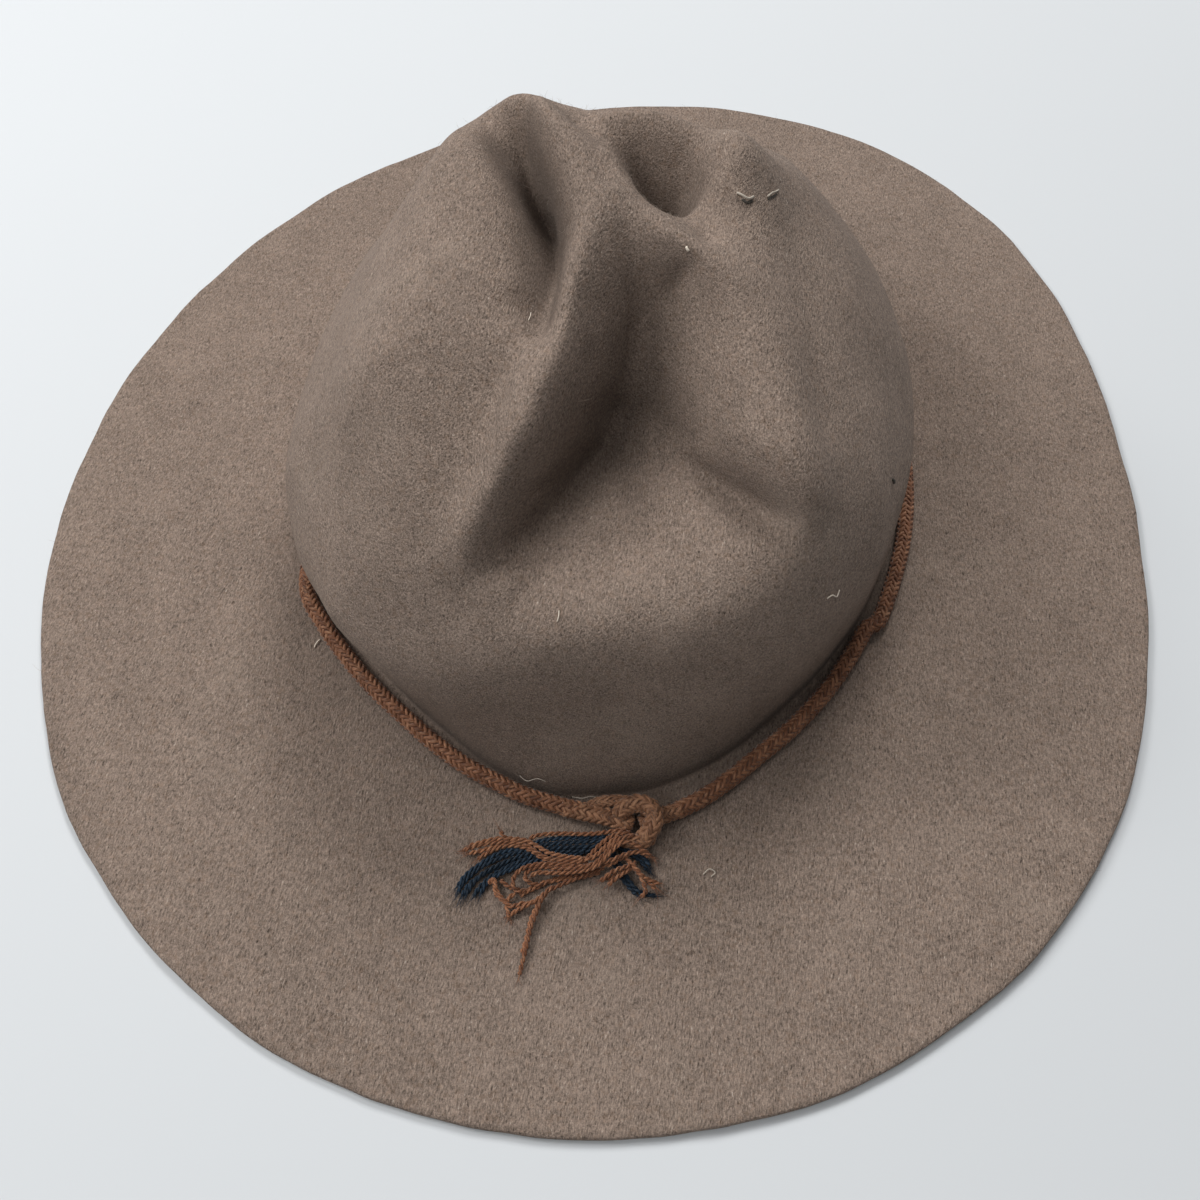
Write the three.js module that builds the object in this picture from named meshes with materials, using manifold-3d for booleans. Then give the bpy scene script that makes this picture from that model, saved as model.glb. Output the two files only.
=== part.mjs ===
// A felt scout hat: one moulded felt body with a dented crown and a flat raw-edged brim,
// and a braided cord round the crown, knotted in front, with its ends frayed into two tassels.
// Millimetres, +Z up. The hat rests on its brim, and its front faces -Y.
import * as THREE from 'three';
import { mergeVertices } from 'three/addons/utils/BufferGeometryUtils.js';
import Module from 'manifold-3d';

const wasm = await Module();
wasm.setup();

// Driving dimensions
const FELT = 2;
const HEAD_HALF_WIDTH = 83.5;
const HEAD_HALF_LENGTH = 105;
const CROWN_TOP = 114;
const CROWN_HEART = new THREE.Vector3(0, 0, 30);
const CORD_RADIUS = 2.5;
const SEAT_GAP = 0.3;
const CORD_HEIGHT = FELT + SEAT_GAP + CORD_RADIUS;
const EDGE_LIFT = 1.2;

// Mesh steps
const SEGMENTS = 76;
const CROWN_RINGS = 23;
// The wall under this height is plain, so it takes this share of the rings that its length would.
const PLAIN_WALL_TOP = 42;
const PLAIN_WALL_SHARE = 0.4;
const BRIM_STEPS = [0.1, 0.3, 0.6, 0.85, 1];
const INNER_BRIM_FLAT = 0.3;

// The open crown before it is dented: at each height, the half size towards the front, right,
// back and left, as a share of the head oval's half size.
const SECTIONS = [
  { height: 2, front: 1, right: 1, back: 1, left: 1 },
  { height: 35, front: 1.01, right: 0.985, back: 0.985, left: 1.01 },
  { height: 50, front: 1.01, right: 0.925, back: 0.92, left: 0.955 },
  { height: 60, front: 1, right: 0.86, back: 0.82, left: 0.88 },
  { height: 70, front: 0.975, right: 0.79, back: 0.69, left: 0.795 },
  { height: 80, front: 0.925, right: 0.71, back: 0.56, left: 0.72 },
  { height: 88, front: 0.81, right: 0.6, back: 0.45, left: 0.63 },
  { height: 96, front: 0.6, right: 0.45, back: 0.335, left: 0.52 },
  { height: 104, front: 0.39, right: 0.28, back: 0.22, left: 0.38 },
  { height: 110, front: 0.21, right: 0.15, back: 0.12, left: 0.23 },
  { height: CROWN_TOP, front: 0, right: 0, back: 0, left: 0 },
];

// The ridges, creases and dents of the crown: the line that each one follows over the felt, as
// points of x, y and z.
const FOLDS = [
  { name: 'bump', line: [[-33.5, 40, 97.5], [-30, 39.5, 99.5], [-26, 39.5, 100], [-21.5, 35, 100.5]] },
  { name: 'left rim', line: [[-27.5, 30, 99], [-21.5, 19.5, 101], [-15, 9, 103], [-9.5, -1, 104.5]] },
  {
    name: 'front left ridge',
    line: [
      [-7, -6.5, 103.5], [-6.5, -17.5, 102], [-7, -27.5, 99.5], [-7.5, -37, 96.5], [-8, -45.5, 93],
      [-9, -53, 89.5], [-11.5, -59, 86], [-14, -65.5, 81], [-17.5, -72.5, 76], [-20.5, -79, 71],
      [-23, -84, 66],
    ],
  },
  { name: 'spine', line: [[-15, 28.5, 101.5], [-5.5, 14, 105], [-2.5, 3.5, 104.5]] },
  {
    name: 'left shoulder',
    line: [
      [-17.5, -35.5, 93.5], [-17, -45.5, 90], [-19, -58, 83.5], [-25, -71.5, 74.5], [-31.5, -81, 65.5],
    ],
  },
  {
    name: 'pocket rim',
    line: [
      [-3, 15.5, 104.5], [3, 3.5, 103.5], [8.5, -3.5, 102.5], [13.5, -8.5, 101], [21.5, -13, 98.5],
      [27.5, -19, 96], [32, -26.5, 92.5], [34.5, -35, 89], [36, -45, 84.5], [38, -52.5, 80],
      [45, -58.5, 76.5], [51, -61.5, 75],
    ],
  },
  {
    name: 'front panel',
    line: [
      [2, -7.5, 102], [5.5, -12.5, 95], [8.5, -16, 85], [7.5, -21.5, 79], [6.5, -28, 72],
      [4.5, -31, 66],
    ],
  },
  {
    name: 'panel right side',
    line: [
      [16.5, -12.5, 90.5], [19, -21, 85], [21.5, -29, 80], [24, -36.5, 76], [25.5, -42, 72],
    ],
  },
  {
    name: 'panel left side',
    line: [
      [-3, -26.5, 96], [-4, -34.5, 91.5], [-5.5, -42.5, 87], [-7, -48.5, 82],
    ],
  },
  {
    name: 'front left crease',
    line: [
      [5.5, -31.5, 63], [3, -36.5, 60], [-1, -43, 57.5], [-3, -53.5, 58], [-7, -66, 60],
      [-16.5, -77.5, 63],
    ],
  },
  {
    name: 'front right crease',
    line: [
      [13, -35, 65], [21.5, -43.5, 68], [28.5, -50, 69.5], [36, -55.5, 68.5], [43, -60.5, 70],
      [48.5, -64.5, 72],
    ],
  },
  { name: 'front shelf', line: [[10.5, -54, 61], [18, -53, 65], [27, -61, 68]] },
  {
    name: 'front crest',
    line: [
      [-50, -83, 53], [-35.5, -87, 58], [-18.5, -88, 61], [-3, -86, 61], [9.5, -82.5, 61],
      [22.5, -77.5, 63.5], [35, -72.5, 67.5], [46.5, -68, 70.5],
    ],
  },
  {
    name: 'front slope',
    line: [
      [-35, -91, 53], [-17.5, -94, 56], [-2, -93, 57.5], [10.5, -88.5, 58.5], [23, -83, 61],
    ],
  },
  {
    name: 'front lip',
    line: [
      [-55, -85, 44.5], [-47.5, -89.5, 44.5], [-39, -94, 45], [-27, -97.5, 47], [-13, -98.5, 49],
      [-1.5, -97, 50.5], [9, -93.5, 52.5], [21, -88.5, 56.5], [32, -82.5, 62], [42, -77, 65.5],
    ],
  },
  { name: 'front wall', line: [[-11.5, -100, 34], [5, -98, 34], [21, -94.5, 37], [34, -89, 43]] },
  { name: 'right brow', line: [[56, -62, 70], [62.5, -52.5, 68], [68, -40, 66]] },
  {
    name: 'left groove',
    line: [
      [-35, 37, 94.5], [-32, 32.5, 91.5], [-27.5, 28.5, 87], [-21.5, 20.5, 84.5], [-16.5, 12, 82.5],
      [-13.5, -1.5, 84.5], [-11.5, -19, 88], [-11, -33.5, 91],
    ],
  },
  {
    name: 'left bank',
    line: [
      [-39, 30.5, 95.5], [-33, 18.5, 96], [-26.5, 4.5, 96], [-22.5, -10.5, 95.5], [-20, -23, 95],
    ],
  },
  { name: 'right pocket', line: [[1, 25, 95.5], [3.5, 23, 92], [7, 19.5, 88], [11, 16, 84.5]] },
  { name: 'pocket top', line: [[4, 26, 97], [9.5, 26, 97]] },
  { name: 'pocket side', line: [[14, 25, 96.5], [15, 21, 93], [15, 17, 89.5], [15, 11, 86.5]] },
  {
    name: 'back right ridge',
    line: [
      [-5.5, 30.5, 103], [1.5, 30.5, 102], [8.5, 30.5, 101], [14.5, 30, 100],
    ],
  },
  { name: 'behind ridge', line: [[-14, 50, 88], [-3, 44, 91], [12, 44, 90], [24, 41, 89]] },
  { name: 'right bank', line: [[18.5, 24, 100.5], [19.5, 14.5, 99.5], [20.5, 5, 98], [22, -3.5, 97]] },
  { name: 'right cheek', line: [[40, 22.5, 92], [46.5, -12.5, 87], [54.5, -42.5, 79]] },
  { name: 'back left ridge', line: [[-27, 44, 95], [-33, 58, 84], [-38, 72, 70]] },
  { name: 'back valley', line: [[-10, 56, 82], [-4, 76, 63]] },
  { name: 'back right side', line: [[28, 46, 88], [38, 67, 69]] },
  { name: 'left belly', line: [[-77, -48, 46], [-69, -68, 37], [-60, -76, 27]] },
  { name: 'left front foot', line: [[-59, -71, 5], [-40, -86, 5], [-21, -98, 5]] },
  { name: 'right front foot', line: [[74, -43.5, 4], [63, -63, 4], [48.5, -82, 4]] },
];
const FOLD_STEP = 5;
const FOLD_ROUNDING = 3;
const FOLD_EASE = 1;
const ANCHOR_BEARINGS = 20;
const ANCHOR_CLEARANCE = 20;

// How the crown's shape is searched: halvings of a range, fine steps and the furthest reach
const HALVINGS = 30;
const FINE_STEPS = 600;
const FURTHEST_REACH = 200;

// On a wall this far from square to its spoke, the inside moves no further along the spoke.
const LEAST_SQUARENESS = 0.45;

// The brim's cut edge: its distance from the head's centre is a round of EDGE_RADIUS with
// these waves added, each so many to the turn.
const EDGE_RADIUS = 170.5;
const EDGE_WAVES = [
  { turns: 1, cosine: 0, sine: -3.5 },
  { turns: 2, cosine: -13, sine: 2.2 },
  { turns: 3, cosine: -3, sine: -1.6 },
  { turns: 4, cosine: -0.5, sine: -1 },
];

// The cord's centreline as it lies on the brim, from the knot round the left side, and from the
// right side back to the knot. Behind, it follows the crown.
const CORD_LEFT = [
  [8.6, -109.2], [-4.5, -107.5], [-13, -105], [-22.5, -101.5], [-32, -96.5], [-42, -90],
  [-52, -83], [-61.5, -75], [-70, -66.5], [-78, -56],
];
const CORD_RIGHT = [
  [77, -44.5], [73.5, -53], [68.5, -63.5], [63, -72.5], [57.5, -80], [51, -87.5], [45, -94.5],
  [39, -100.5], [32.6, -105.4],
];
const CORD_BACK_CLEARANCE = CORD_RADIUS + 0.9;
// In degrees from +X, turning clockwise seen from above
const CORD_BACK_START = -160;
const CORD_BACK_END = -381;
const CORD_BACK_POINTS = 16;
const CORD_STEPS = 72;
const CORD_SIDES = 8;

const felt = new THREE.MeshStandardMaterial({ color: 0x76685e, roughness: 0.95, metalness: 0 });
const cordBrown = new THREE.MeshStandardMaterial({ color: 0x8a4f2f, roughness: 0.8, metalness: 0 });
const yarnBrown = new THREE.MeshStandardMaterial({ color: 0x94572f, roughness: 0.85, metalness: 0 });
const yarnNavy = new THREE.MeshStandardMaterial({ color: 0x1d2a3a, roughness: 0.85, metalness: 0 });

// Smooth interpolation through a row of equal steps
function throughValues(values, at) {
  const last = values.length - 1;
  const i = Math.min(Math.floor(at), last - 1);
  const t = at - i;
  const a = values[Math.max(i - 1, 0)];
  const b = values[i];
  const c = values[i + 1];
  const d = values[Math.min(i + 2, last)];
  const bend = 2 * a - 5 * b + 4 * c - d;
  return 0.5 * (2 * b + (c - a) * t + bend * t * t + (3 * b - a - 3 * c + d) * t * t * t);
}

function throughPoints(points, at) {
  return new THREE.Vector3(...[0, 1, 2].map((axis) => throughValues(points.map((p) => p[axis]), at)));
}

// The undented crown: level counts the rows of SECTIONS, angle turns from +X towards +Y.
function crownSection(level, angle) {
  const column = (name) => throughValues(SECTIONS.map((row) => row[name]), level);
  const across = Math.cos(angle);
  const along = Math.sin(angle);
  const side = column(across > 0 ? 'right' : 'left');
  const end = column(along < 0 ? 'front' : 'back');
  return { height: column('height'), share: side * across ** 2 + end * along ** 2 };
}

function openCrownPoint(level, angle) {
  const { height, share } = crownSection(level, angle);
  const x = HEAD_HALF_WIDTH * share * Math.cos(angle);
  const y = HEAD_HALF_LENGTH * share * Math.sin(angle);
  return new THREE.Vector3(x, y, height);
}

function levelOfHeight(height) {
  let low = 0;
  let high = SECTIONS.length - 1;
  for (let i = 0; i < HALVINGS; i += 1) {
    const middle = (low + high) / 2;
    if (throughValues(SECTIONS.map((row) => row.height), middle) < height) low = middle;
    else high = middle;
  }
  return low;
}

function insideOpenCrown(point) {
  if (point.z > CROWN_TOP) return false;
  const across = point.x / HEAD_HALF_WIDTH;
  const along = point.y / HEAD_HALF_LENGTH;
  const { share } = crownSection(levelOfHeight(point.z), Math.atan2(along, across));
  return Math.hypot(across, along) < share;
}

function reachOfOpenCrown(direction) {
  let low = 0;
  let high = FURTHEST_REACH;
  for (let i = 0; i < HALVINGS; i += 1) {
    const middle = (low + high) / 2;
    if (insideOpenCrown(CROWN_HEART.clone().addScaledVector(direction, middle))) low = middle;
    else high = middle;
  }
  return low;
}

function pointsAlong(line) {
  const points = [];
  for (let i = 0; i + 1 < line.length; i += 1) {
    const length = new THREE.Vector3(...line[i]).distanceTo(new THREE.Vector3(...line[i + 1]));
    const steps = Math.max(1, Math.round(length / FOLD_STEP));
    for (let j = 0; j < steps; j += 1) points.push(throughPoints(line, i + j / steps));
  }
  points.push(new THREE.Vector3(...line[line.length - 1]));
  return points;
}

// Where the felt is pushed in or out from the open crown, and by how much
function foldMarks() {
  const marks = [];
  for (const { line } of FOLDS) {
    for (const point of pointsAlong(line)) {
      const direction = point.clone().sub(CROWN_HEART).normalize();
      const reach = reachOfOpenCrown(direction);
      const place = CROWN_HEART.clone().addScaledVector(direction, reach);
      marks.push({ place, push: point.distanceTo(CROWN_HEART) - reach });
    }
  }
  const folded = marks.map((mark) => mark.place);
  for (let level = 0; level < SECTIONS.length - 1; level += 1) {
    for (let i = 0; i < ANCHOR_BEARINGS; i += 1) {
      const place = openCrownPoint(level, (i / ANCHOR_BEARINGS) * Math.PI * 2);
      const nearest = Math.min(...folded.map((other) => other.distanceTo(place)));
      if (nearest > ANCHOR_CLEARANCE) marks.push({ place, push: 0 });
    }
  }
  return marks;
}

// Gaussian elimination with row exchange
function solve(matrix, values) {
  const size = values.length;
  for (let column = 0; column < size; column += 1) {
    let pivot = column;
    for (let row = column + 1; row < size; row += 1) {
      if (Math.abs(matrix[row][column]) > Math.abs(matrix[pivot][column])) pivot = row;
    }
    [matrix[column], matrix[pivot]] = [matrix[pivot], matrix[column]];
    [values[column], values[pivot]] = [values[pivot], values[column]];
    for (let row = column + 1; row < size; row += 1) {
      const factor = matrix[row][column] / matrix[column][column];
      for (let k = column; k < size; k += 1) matrix[row][k] -= factor * matrix[column][k];
      values[row] -= factor * values[column];
    }
  }
  for (let row = size - 1; row >= 0; row -= 1) {
    for (let k = row + 1; k < size; k += 1) values[row] -= matrix[row][k] * values[k];
    values[row] /= matrix[row][row];
  }
  return values;
}

const spread = (distance) => Math.sqrt(distance * distance + FOLD_ROUNDING * FOLD_ROUNDING);

// A smooth push over the whole crown that eases through every mark
function makePush() {
  const marks = foldMarks();
  const matrix = marks.map((row, i) => [
    ...marks.map((mark, j) => spread(row.place.distanceTo(mark.place)) - (i === j ? FOLD_EASE : 0)),
    1,
  ]);
  matrix.push([...marks.map(() => 1), 0]);
  const weights = solve(matrix, [...marks.map((mark) => mark.push), 0]);
  return (place) => marks.reduce(
    (sum, mark, i) => sum + weights[i] * spread(place.distanceTo(mark.place)),
    weights[marks.length],
  );
}

const pushAt = makePush();

function dentedPoint(place) {
  const direction = place.clone().sub(CROWN_HEART).normalize();
  return place.clone().addScaledVector(direction, pushAt(place));
}

// Levels that share out the length of the wall, from the top down to the foot, on the side
// where it is longest
function ringLevels() {
  const top = SECTIONS.length - 1;
  const frontRight = -1;
  const levelAt = (i) => top * (1 - i / FINE_STEPS);
  const lengths = [0];
  for (let i = 1; i <= FINE_STEPS; i += 1) {
    const above = openCrownPoint(levelAt(i - 1), frontRight);
    const share = above.z < PLAIN_WALL_TOP ? PLAIN_WALL_SHARE : 1;
    const length = above.distanceTo(openCrownPoint(levelAt(i), frontRight));
    lengths.push(lengths[i - 1] + length * share);
  }
  const levels = [];
  for (let ring = 1; ring < CROWN_RINGS; ring += 1) {
    const wanted = (lengths[FINE_STEPS] * ring) / CROWN_RINGS;
    levels.push(levelAt(lengths.findIndex((length) => length >= wanted)));
  }
  return [...levels, 0];
}

function brimEdge(bearing) {
  const wave = ({ turns, cosine, sine }) => (
    cosine * Math.cos(turns * bearing) + sine * Math.sin(turns * bearing)
  );
  return EDGE_RADIUS + EDGE_WAVES.reduce((sum, row) => sum + wave(row), 0);
}

// The brim lies flat near the crown, and its edge lifts a little in two long waves.
function brimLift(share, bearing) {
  const out = Math.max(0, (share - INNER_BRIM_FLAT) / (1 - INNER_BRIM_FLAT));
  return EDGE_LIFT * out * out * 0.5 * (1 + Math.cos(2 * bearing + 0.6));
}

function brimRing(foot, share, top) {
  return foot.map((point) => {
    const bearing = Math.atan2(point.y, point.x);
    const inner = Math.hypot(point.x, point.y);
    const radius = inner + (brimEdge(bearing) - inner) * share;
    const z = brimLift(share, bearing) + (top ? FELT : 0);
    return new THREE.Vector3(radius * Math.cos(bearing), radius * Math.sin(bearing), z);
  });
}

// A closed skin through a top pole, rings of equal count and a bottom pole. Each patch of four
// corners is split along its shorter diagonal, so that a crease runs along edges.
function skin(topPole, rings, bottomPole) {
  const count = rings[0].length;
  const points = [topPole, ...rings.flat(), bottomPole];
  const at = (ring, i) => 1 + ring * count + (i % count);
  const index = [];
  const addPatch = (a, b, c, d) => {
    const acrossFirst = points[a].distanceTo(points[c]) <= points[b].distanceTo(points[d]);
    index.push(...(acrossFirst ? [a, b, c, a, c, d] : [a, b, d, b, c, d]));
  };
  for (let i = 0; i < count; i += 1) {
    index.push(0, at(0, i), at(0, i + 1));
    index.push(points.length - 1, at(rings.length - 1, i + 1), at(rings.length - 1, i));
    for (let ring = 0; ring + 1 < rings.length; ring += 1) {
      addPatch(at(ring, i), at(ring + 1, i), at(ring + 1, i + 1), at(ring, i + 1));
    }
  }
  const geometry = new THREE.BufferGeometry().setFromPoints(points);
  geometry.setIndex(index);
  geometry.computeVertexNormals();
  return geometry;
}

// The inside of the crown lies one felt thickness in, measured square to the felt.
function innerPoint(point, normal) {
  const direction = point.clone().sub(CROWN_HEART).normalize();
  const squareness = Math.max(LEAST_SQUARENESS, direction.dot(normal));
  return point.clone().addScaledVector(direction, -FELT / squareness);
}

function makeCrownAndBrim() {
  const pole = dentedPoint(openCrownPoint(SECTIONS.length - 1, 0));
  const crown = ringLevels().map((level) => {
    const ring = [];
    for (let i = 0; i < SEGMENTS; i += 1) {
      ring.push(dentedPoint(openCrownPoint(level, (i / SEGMENTS) * Math.PI * 2)));
    }
    return ring;
  });
  const foot = crown[crown.length - 1];
  foot.forEach((point) => point.setZ(FELT));
  const outer = skin(pole, crown, new THREE.Vector3());
  const normals = outer.getAttribute('normal');
  const normalAt = (i) => new THREE.Vector3().fromBufferAttribute(normals, i);

  const inner = crown.slice(0, -1).map((ring, row) => (
    ring.map((point, i) => innerPoint(point, normalAt(1 + row * SEGMENTS + i)))
  ));
  const innerFoot = foot.map((point) => {
    const scale = 1 - FELT / Math.hypot(point.x, point.y);
    return new THREE.Vector3(point.x * scale, point.y * scale, 0);
  });
  const topRings = BRIM_STEPS.map((share) => brimRing(foot, share, true));
  const underRings = [...BRIM_STEPS].reverse().map((share) => brimRing(foot, share, false));
  const rings = [...crown, ...topRings, ...underRings, innerFoot, ...inner.reverse()];
  return skin(pole, rings, innerPoint(pole, normalAt(0)));
}

// Only positions and shared corners, for a closed mesh
function cornersOnly(geometry) {
  const bare = geometry.clone();
  bare.deleteAttribute('normal');
  bare.deleteAttribute('uv');
  return mergeVertices(bare);
}

function toSolid(geometry) {
  const merged = cornersOnly(geometry);
  const vertProperties = new Float32Array(merged.getAttribute('position').array);
  const triVerts = new Uint32Array(merged.getIndex().array);
  return new wasm.Manifold(new wasm.Mesh({ numProp: 3, vertProperties, triVerts }));
}

function fuse(geometries) {
  const solid = geometries.map(toSolid).reduce((whole, piece) => whole.add(piece));
  const mesh = solid.getMesh();
  const geometry = new THREE.BufferGeometry();
  geometry.setAttribute('position', new THREE.BufferAttribute(mesh.vertProperties, 3));
  geometry.setIndex(new THREE.BufferAttribute(mesh.triVerts, 1));
  geometry.computeVertexNormals();
  return geometry;
}

function roundSection(radius, sides) {
  const shape = new THREE.Shape();
  for (let i = 0; i < sides; i += 1) {
    const angle = (i / sides) * Math.PI * 2;
    const x = radius * Math.cos(angle);
    const y = radius * Math.sin(angle);
    if (i === 0) shape.moveTo(x, y);
    else shape.lineTo(x, y);
  }
  shape.closePath();
  return shape;
}

function tube(points, radius, sides, steps) {
  const path = new THREE.CatmullRomCurve3(points.map((p) => new THREE.Vector3(...p)));
  const section = roundSection(radius, sides);
  return new THREE.ExtrudeGeometry(section, { steps, bevelEnabled: false, extrudePath: path });
}

function cordBack() {
  const points = [];
  for (let i = 0; i < CORD_BACK_POINTS; i += 1) {
    const turn = CORD_BACK_START + ((CORD_BACK_END - CORD_BACK_START) * i) / (CORD_BACK_POINTS - 1);
    const angle = THREE.MathUtils.degToRad(turn);
    const x = (HEAD_HALF_WIDTH + CORD_BACK_CLEARANCE) * Math.cos(angle);
    const y = (HEAD_HALF_LENGTH + CORD_BACK_CLEARANCE) * Math.sin(angle);
    points.push([x, y]);
  }
  return points;
}

function makeCord() {
  const route = [...CORD_LEFT, ...cordBack(), ...CORD_RIGHT];
  return tube(route.map(([x, y]) => [x, y, CORD_HEIGHT]), CORD_RADIUS, CORD_SIDES, CORD_STEPS);
}

// The knot: the cord's two arms, the turn behind them, and the fat turn over the front
const KNOT_STEPS = 5;
const KNOT_TURNS = [
  {
    name: 'left arm',
    radius: CORD_RADIUS,
    line: [[8.9, -109.1, 4.8], [15, -109.6, 4.9], [22, -110.6, 5.2]],
  },
  {
    name: 'right arm',
    radius: CORD_RADIUS,
    line: [[32.3, -105.6, 4.8], [28, -108, 4.9], [23, -110, 5]],
  },
  {
    name: 'back turn',
    radius: 2.1,
    line: [[11, -108, 5.4], [16, -106.2, 6.4], [21, -106, 6.2], [25, -107.6, 5.6]],
  },
  {
    name: 'front turn',
    radius: CORD_RADIUS,
    line: [
      [19.5, -107.6, 6.8], [23.5, -106.6, 8], [26.6, -107.8, 8.4], [26.8, -110.6, 7.8], [25.4, -112.8, 6.2],
    ],
  },
];

function makeKnot() {
  return fuse(KNOT_TURNS.map(({ line, radius }) => tube(line, radius, CORD_SIDES, KNOT_STEPS)));
}

// The tassels, in locks of yarns: each lock's line, its width at the start and at the tip, and
// its thickness. The navy locks lie on the brim, and the brown locks lie over them.
const NAVY_LOCKS = [
  {
    name: 'head',
    width: 6,
    tip: 6,
    thick: 2.2,
    line: [[24, -119.5, 3.5], [18, -119.4, 3.5], [12, -119.8, 3.5]],
  },
  {
    name: 'left band',
    width: 6,
    tip: 5,
    thick: 2.2,
    line: [[16, -119.5, 3.5], [2, -119.8, 3.5], [-6, -124.5, 3.5], [-17, -131, 3.4]],
  },
  {
    name: 'upper right end',
    width: 3,
    tip: 2,
    thick: 2,
    line: [[21, -119.5, 3.5], [25, -119.6, 3.5], [29, -121, 3.4]],
  },
  {
    name: 'lower right end',
    width: 3,
    tip: 2,
    thick: 2,
    line: [[21, -120, 3.5], [25, -123, 3.5], [28.5, -126.8, 3.4]],
  },
];

const BROWN_LOCKS = [
  {
    name: 'head',
    width: 5,
    tip: 4.6,
    thick: 3.4,
    line: [[23, -117.6, 6.6], [18, -117.4, 6.6], [12, -118.2, 6.6]],
  },
  {
    name: 'top yarns',
    width: 3,
    tip: 2,
    thick: 1.8,
    line: [[15, -117.6, 6.2], [2, -116.8, 5.8], [-8, -121, 5.7], [-19, -124, 4.2]],
  },
  {
    name: 'middle yarns',
    width: 3,
    tip: 2,
    thick: 1.8,
    line: [[14, -118.6, 6.2], [8, -121.6, 5.8], [0, -121.4, 5.8], [-7, -122, 5.7]],
  },
  {
    name: 'loop yarns',
    width: 4,
    tip: 3,
    thick: 2.4,
    line: [[15, -119, 6], [12, -123.8, 5], [3, -126.6, 3.9], [-3, -129.6, 3.7]],
  },
  {
    name: 'low left yarns',
    width: 3,
    tip: 2,
    thick: 2,
    line: [[8, -125.8, 4.2], [1, -130.6, 3.5], [-7, -137, 3.4]],
  },
  {
    name: 'long thread',
    width: 2,
    tip: 1.6,
    thick: 1.6,
    line: [[8, -126, 4.2], [3, -131.4, 3.4], [1.8, -141, 3.2], [1.6, -151, 3.2]],
  },
  {
    name: 'right yarns',
    width: 3,
    tip: 2,
    thick: 1.8,
    line: [[20, -118.4, 6.2], [25, -118.6, 6], [30.5, -119.6, 5.4]],
  },
  {
    name: 'right tuft',
    width: 3,
    tip: 2,
    thick: 1.8,
    line: [[19, -119, 6.2], [21, -124.2, 5.6], [16.6, -127.6, 3.6]],
  },
  {
    name: 'far right tuft',
    width: 2.6,
    tip: 2,
    thick: 1.8,
    line: [[20, -119, 6.2], [25, -122.6, 5.8], [32.4, -127.4, 3.6]],
  },
];
const LOCK_SIDES = 6;
const LOCK_STEPS = 3;
const LOCK_LOOK_AHEAD = 0.05;
const LOCK_TIP_THINNING = 0.25;

// A lock of yarns: an oval section that follows a line and narrows towards its end
function lock({ line, width, tip, thick }) {
  const last = line.length - 1;
  const steps = last * LOCK_STEPS;
  const rings = [];
  for (let step = 0; step <= steps; step += 1) {
    const share = step / steps;
    const at = share * last;
    const centre = throughPoints(line, at);
    const ahead = throughPoints(line, Math.min(at + LOCK_LOOK_AHEAD, last));
    const behind = throughPoints(line, Math.max(at - LOCK_LOOK_AHEAD, 0));
    const along = ahead.sub(behind).setZ(0).normalize();
    const halfWidth = (width + (tip - width) * share) / 2;
    const halfThick = (thick * (1 - LOCK_TIP_THINNING * share)) / 2;
    const ring = [];
    for (let i = 0; i < LOCK_SIDES; i += 1) {
      const angle = -(i / LOCK_SIDES) * Math.PI * 2;
      const across = halfWidth * Math.cos(angle);
      const up = halfThick * Math.sin(angle);
      ring.push(centre.clone().add(new THREE.Vector3(-along.y * across, along.x * across, up)));
    }
    rings.push(ring);
  }
  return skin(throughPoints(line, 0), rings, throughPoints(line, last));
}

function named(name, geometry, material) {
  const mesh = new THREE.Mesh(cornersOnly(geometry), material);
  mesh.name = name;
  return mesh;
}

// The hat stands with the middle of its outline over the origin.
function outlineMiddle() {
  const box = new THREE.Box2();
  for (let degree = 0; degree < 360; degree += 1) {
    const bearing = THREE.MathUtils.degToRad(degree);
    const radius = brimEdge(bearing);
    box.expandByPoint(new THREE.Vector2(radius * Math.cos(bearing), radius * Math.sin(bearing)));
  }
  return box.getCenter(new THREE.Vector2());
}

const hat = new THREE.Group();
hat.add(named('crown_and_brim', makeCrownAndBrim(), felt));
hat.add(named('hat_cord', makeCord(), cordBrown));
hat.add(named('cord_knot', makeKnot(), cordBrown));
hat.add(named('tassel_navy', fuse(NAVY_LOCKS.map(lock)), yarnNavy));
hat.add(named('tassel_brown', fuse(BROWN_LOCKS.map(lock)), yarnBrown));

const middle = outlineMiddle();
hat.position.set(-middle.x, -middle.y, 0);
hat.updateMatrixWorld(true);

export default hat;
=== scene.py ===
"""The looks of a felt scout hat: worn wool felt, a braided cord with its knot, and two frayed tassels.

Lengths are in millimetres in the hat's own frame, whose origin is the middle of the head oval on
the floor, until a mesh is written in metres in the part's frame. Its front faces -Y.
"""
import math
from typing import NamedTuple

import bpy
import numpy as np
from mathutils import Matrix, Vector, noise
from mathutils.bvhtree import BVHTree


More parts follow.
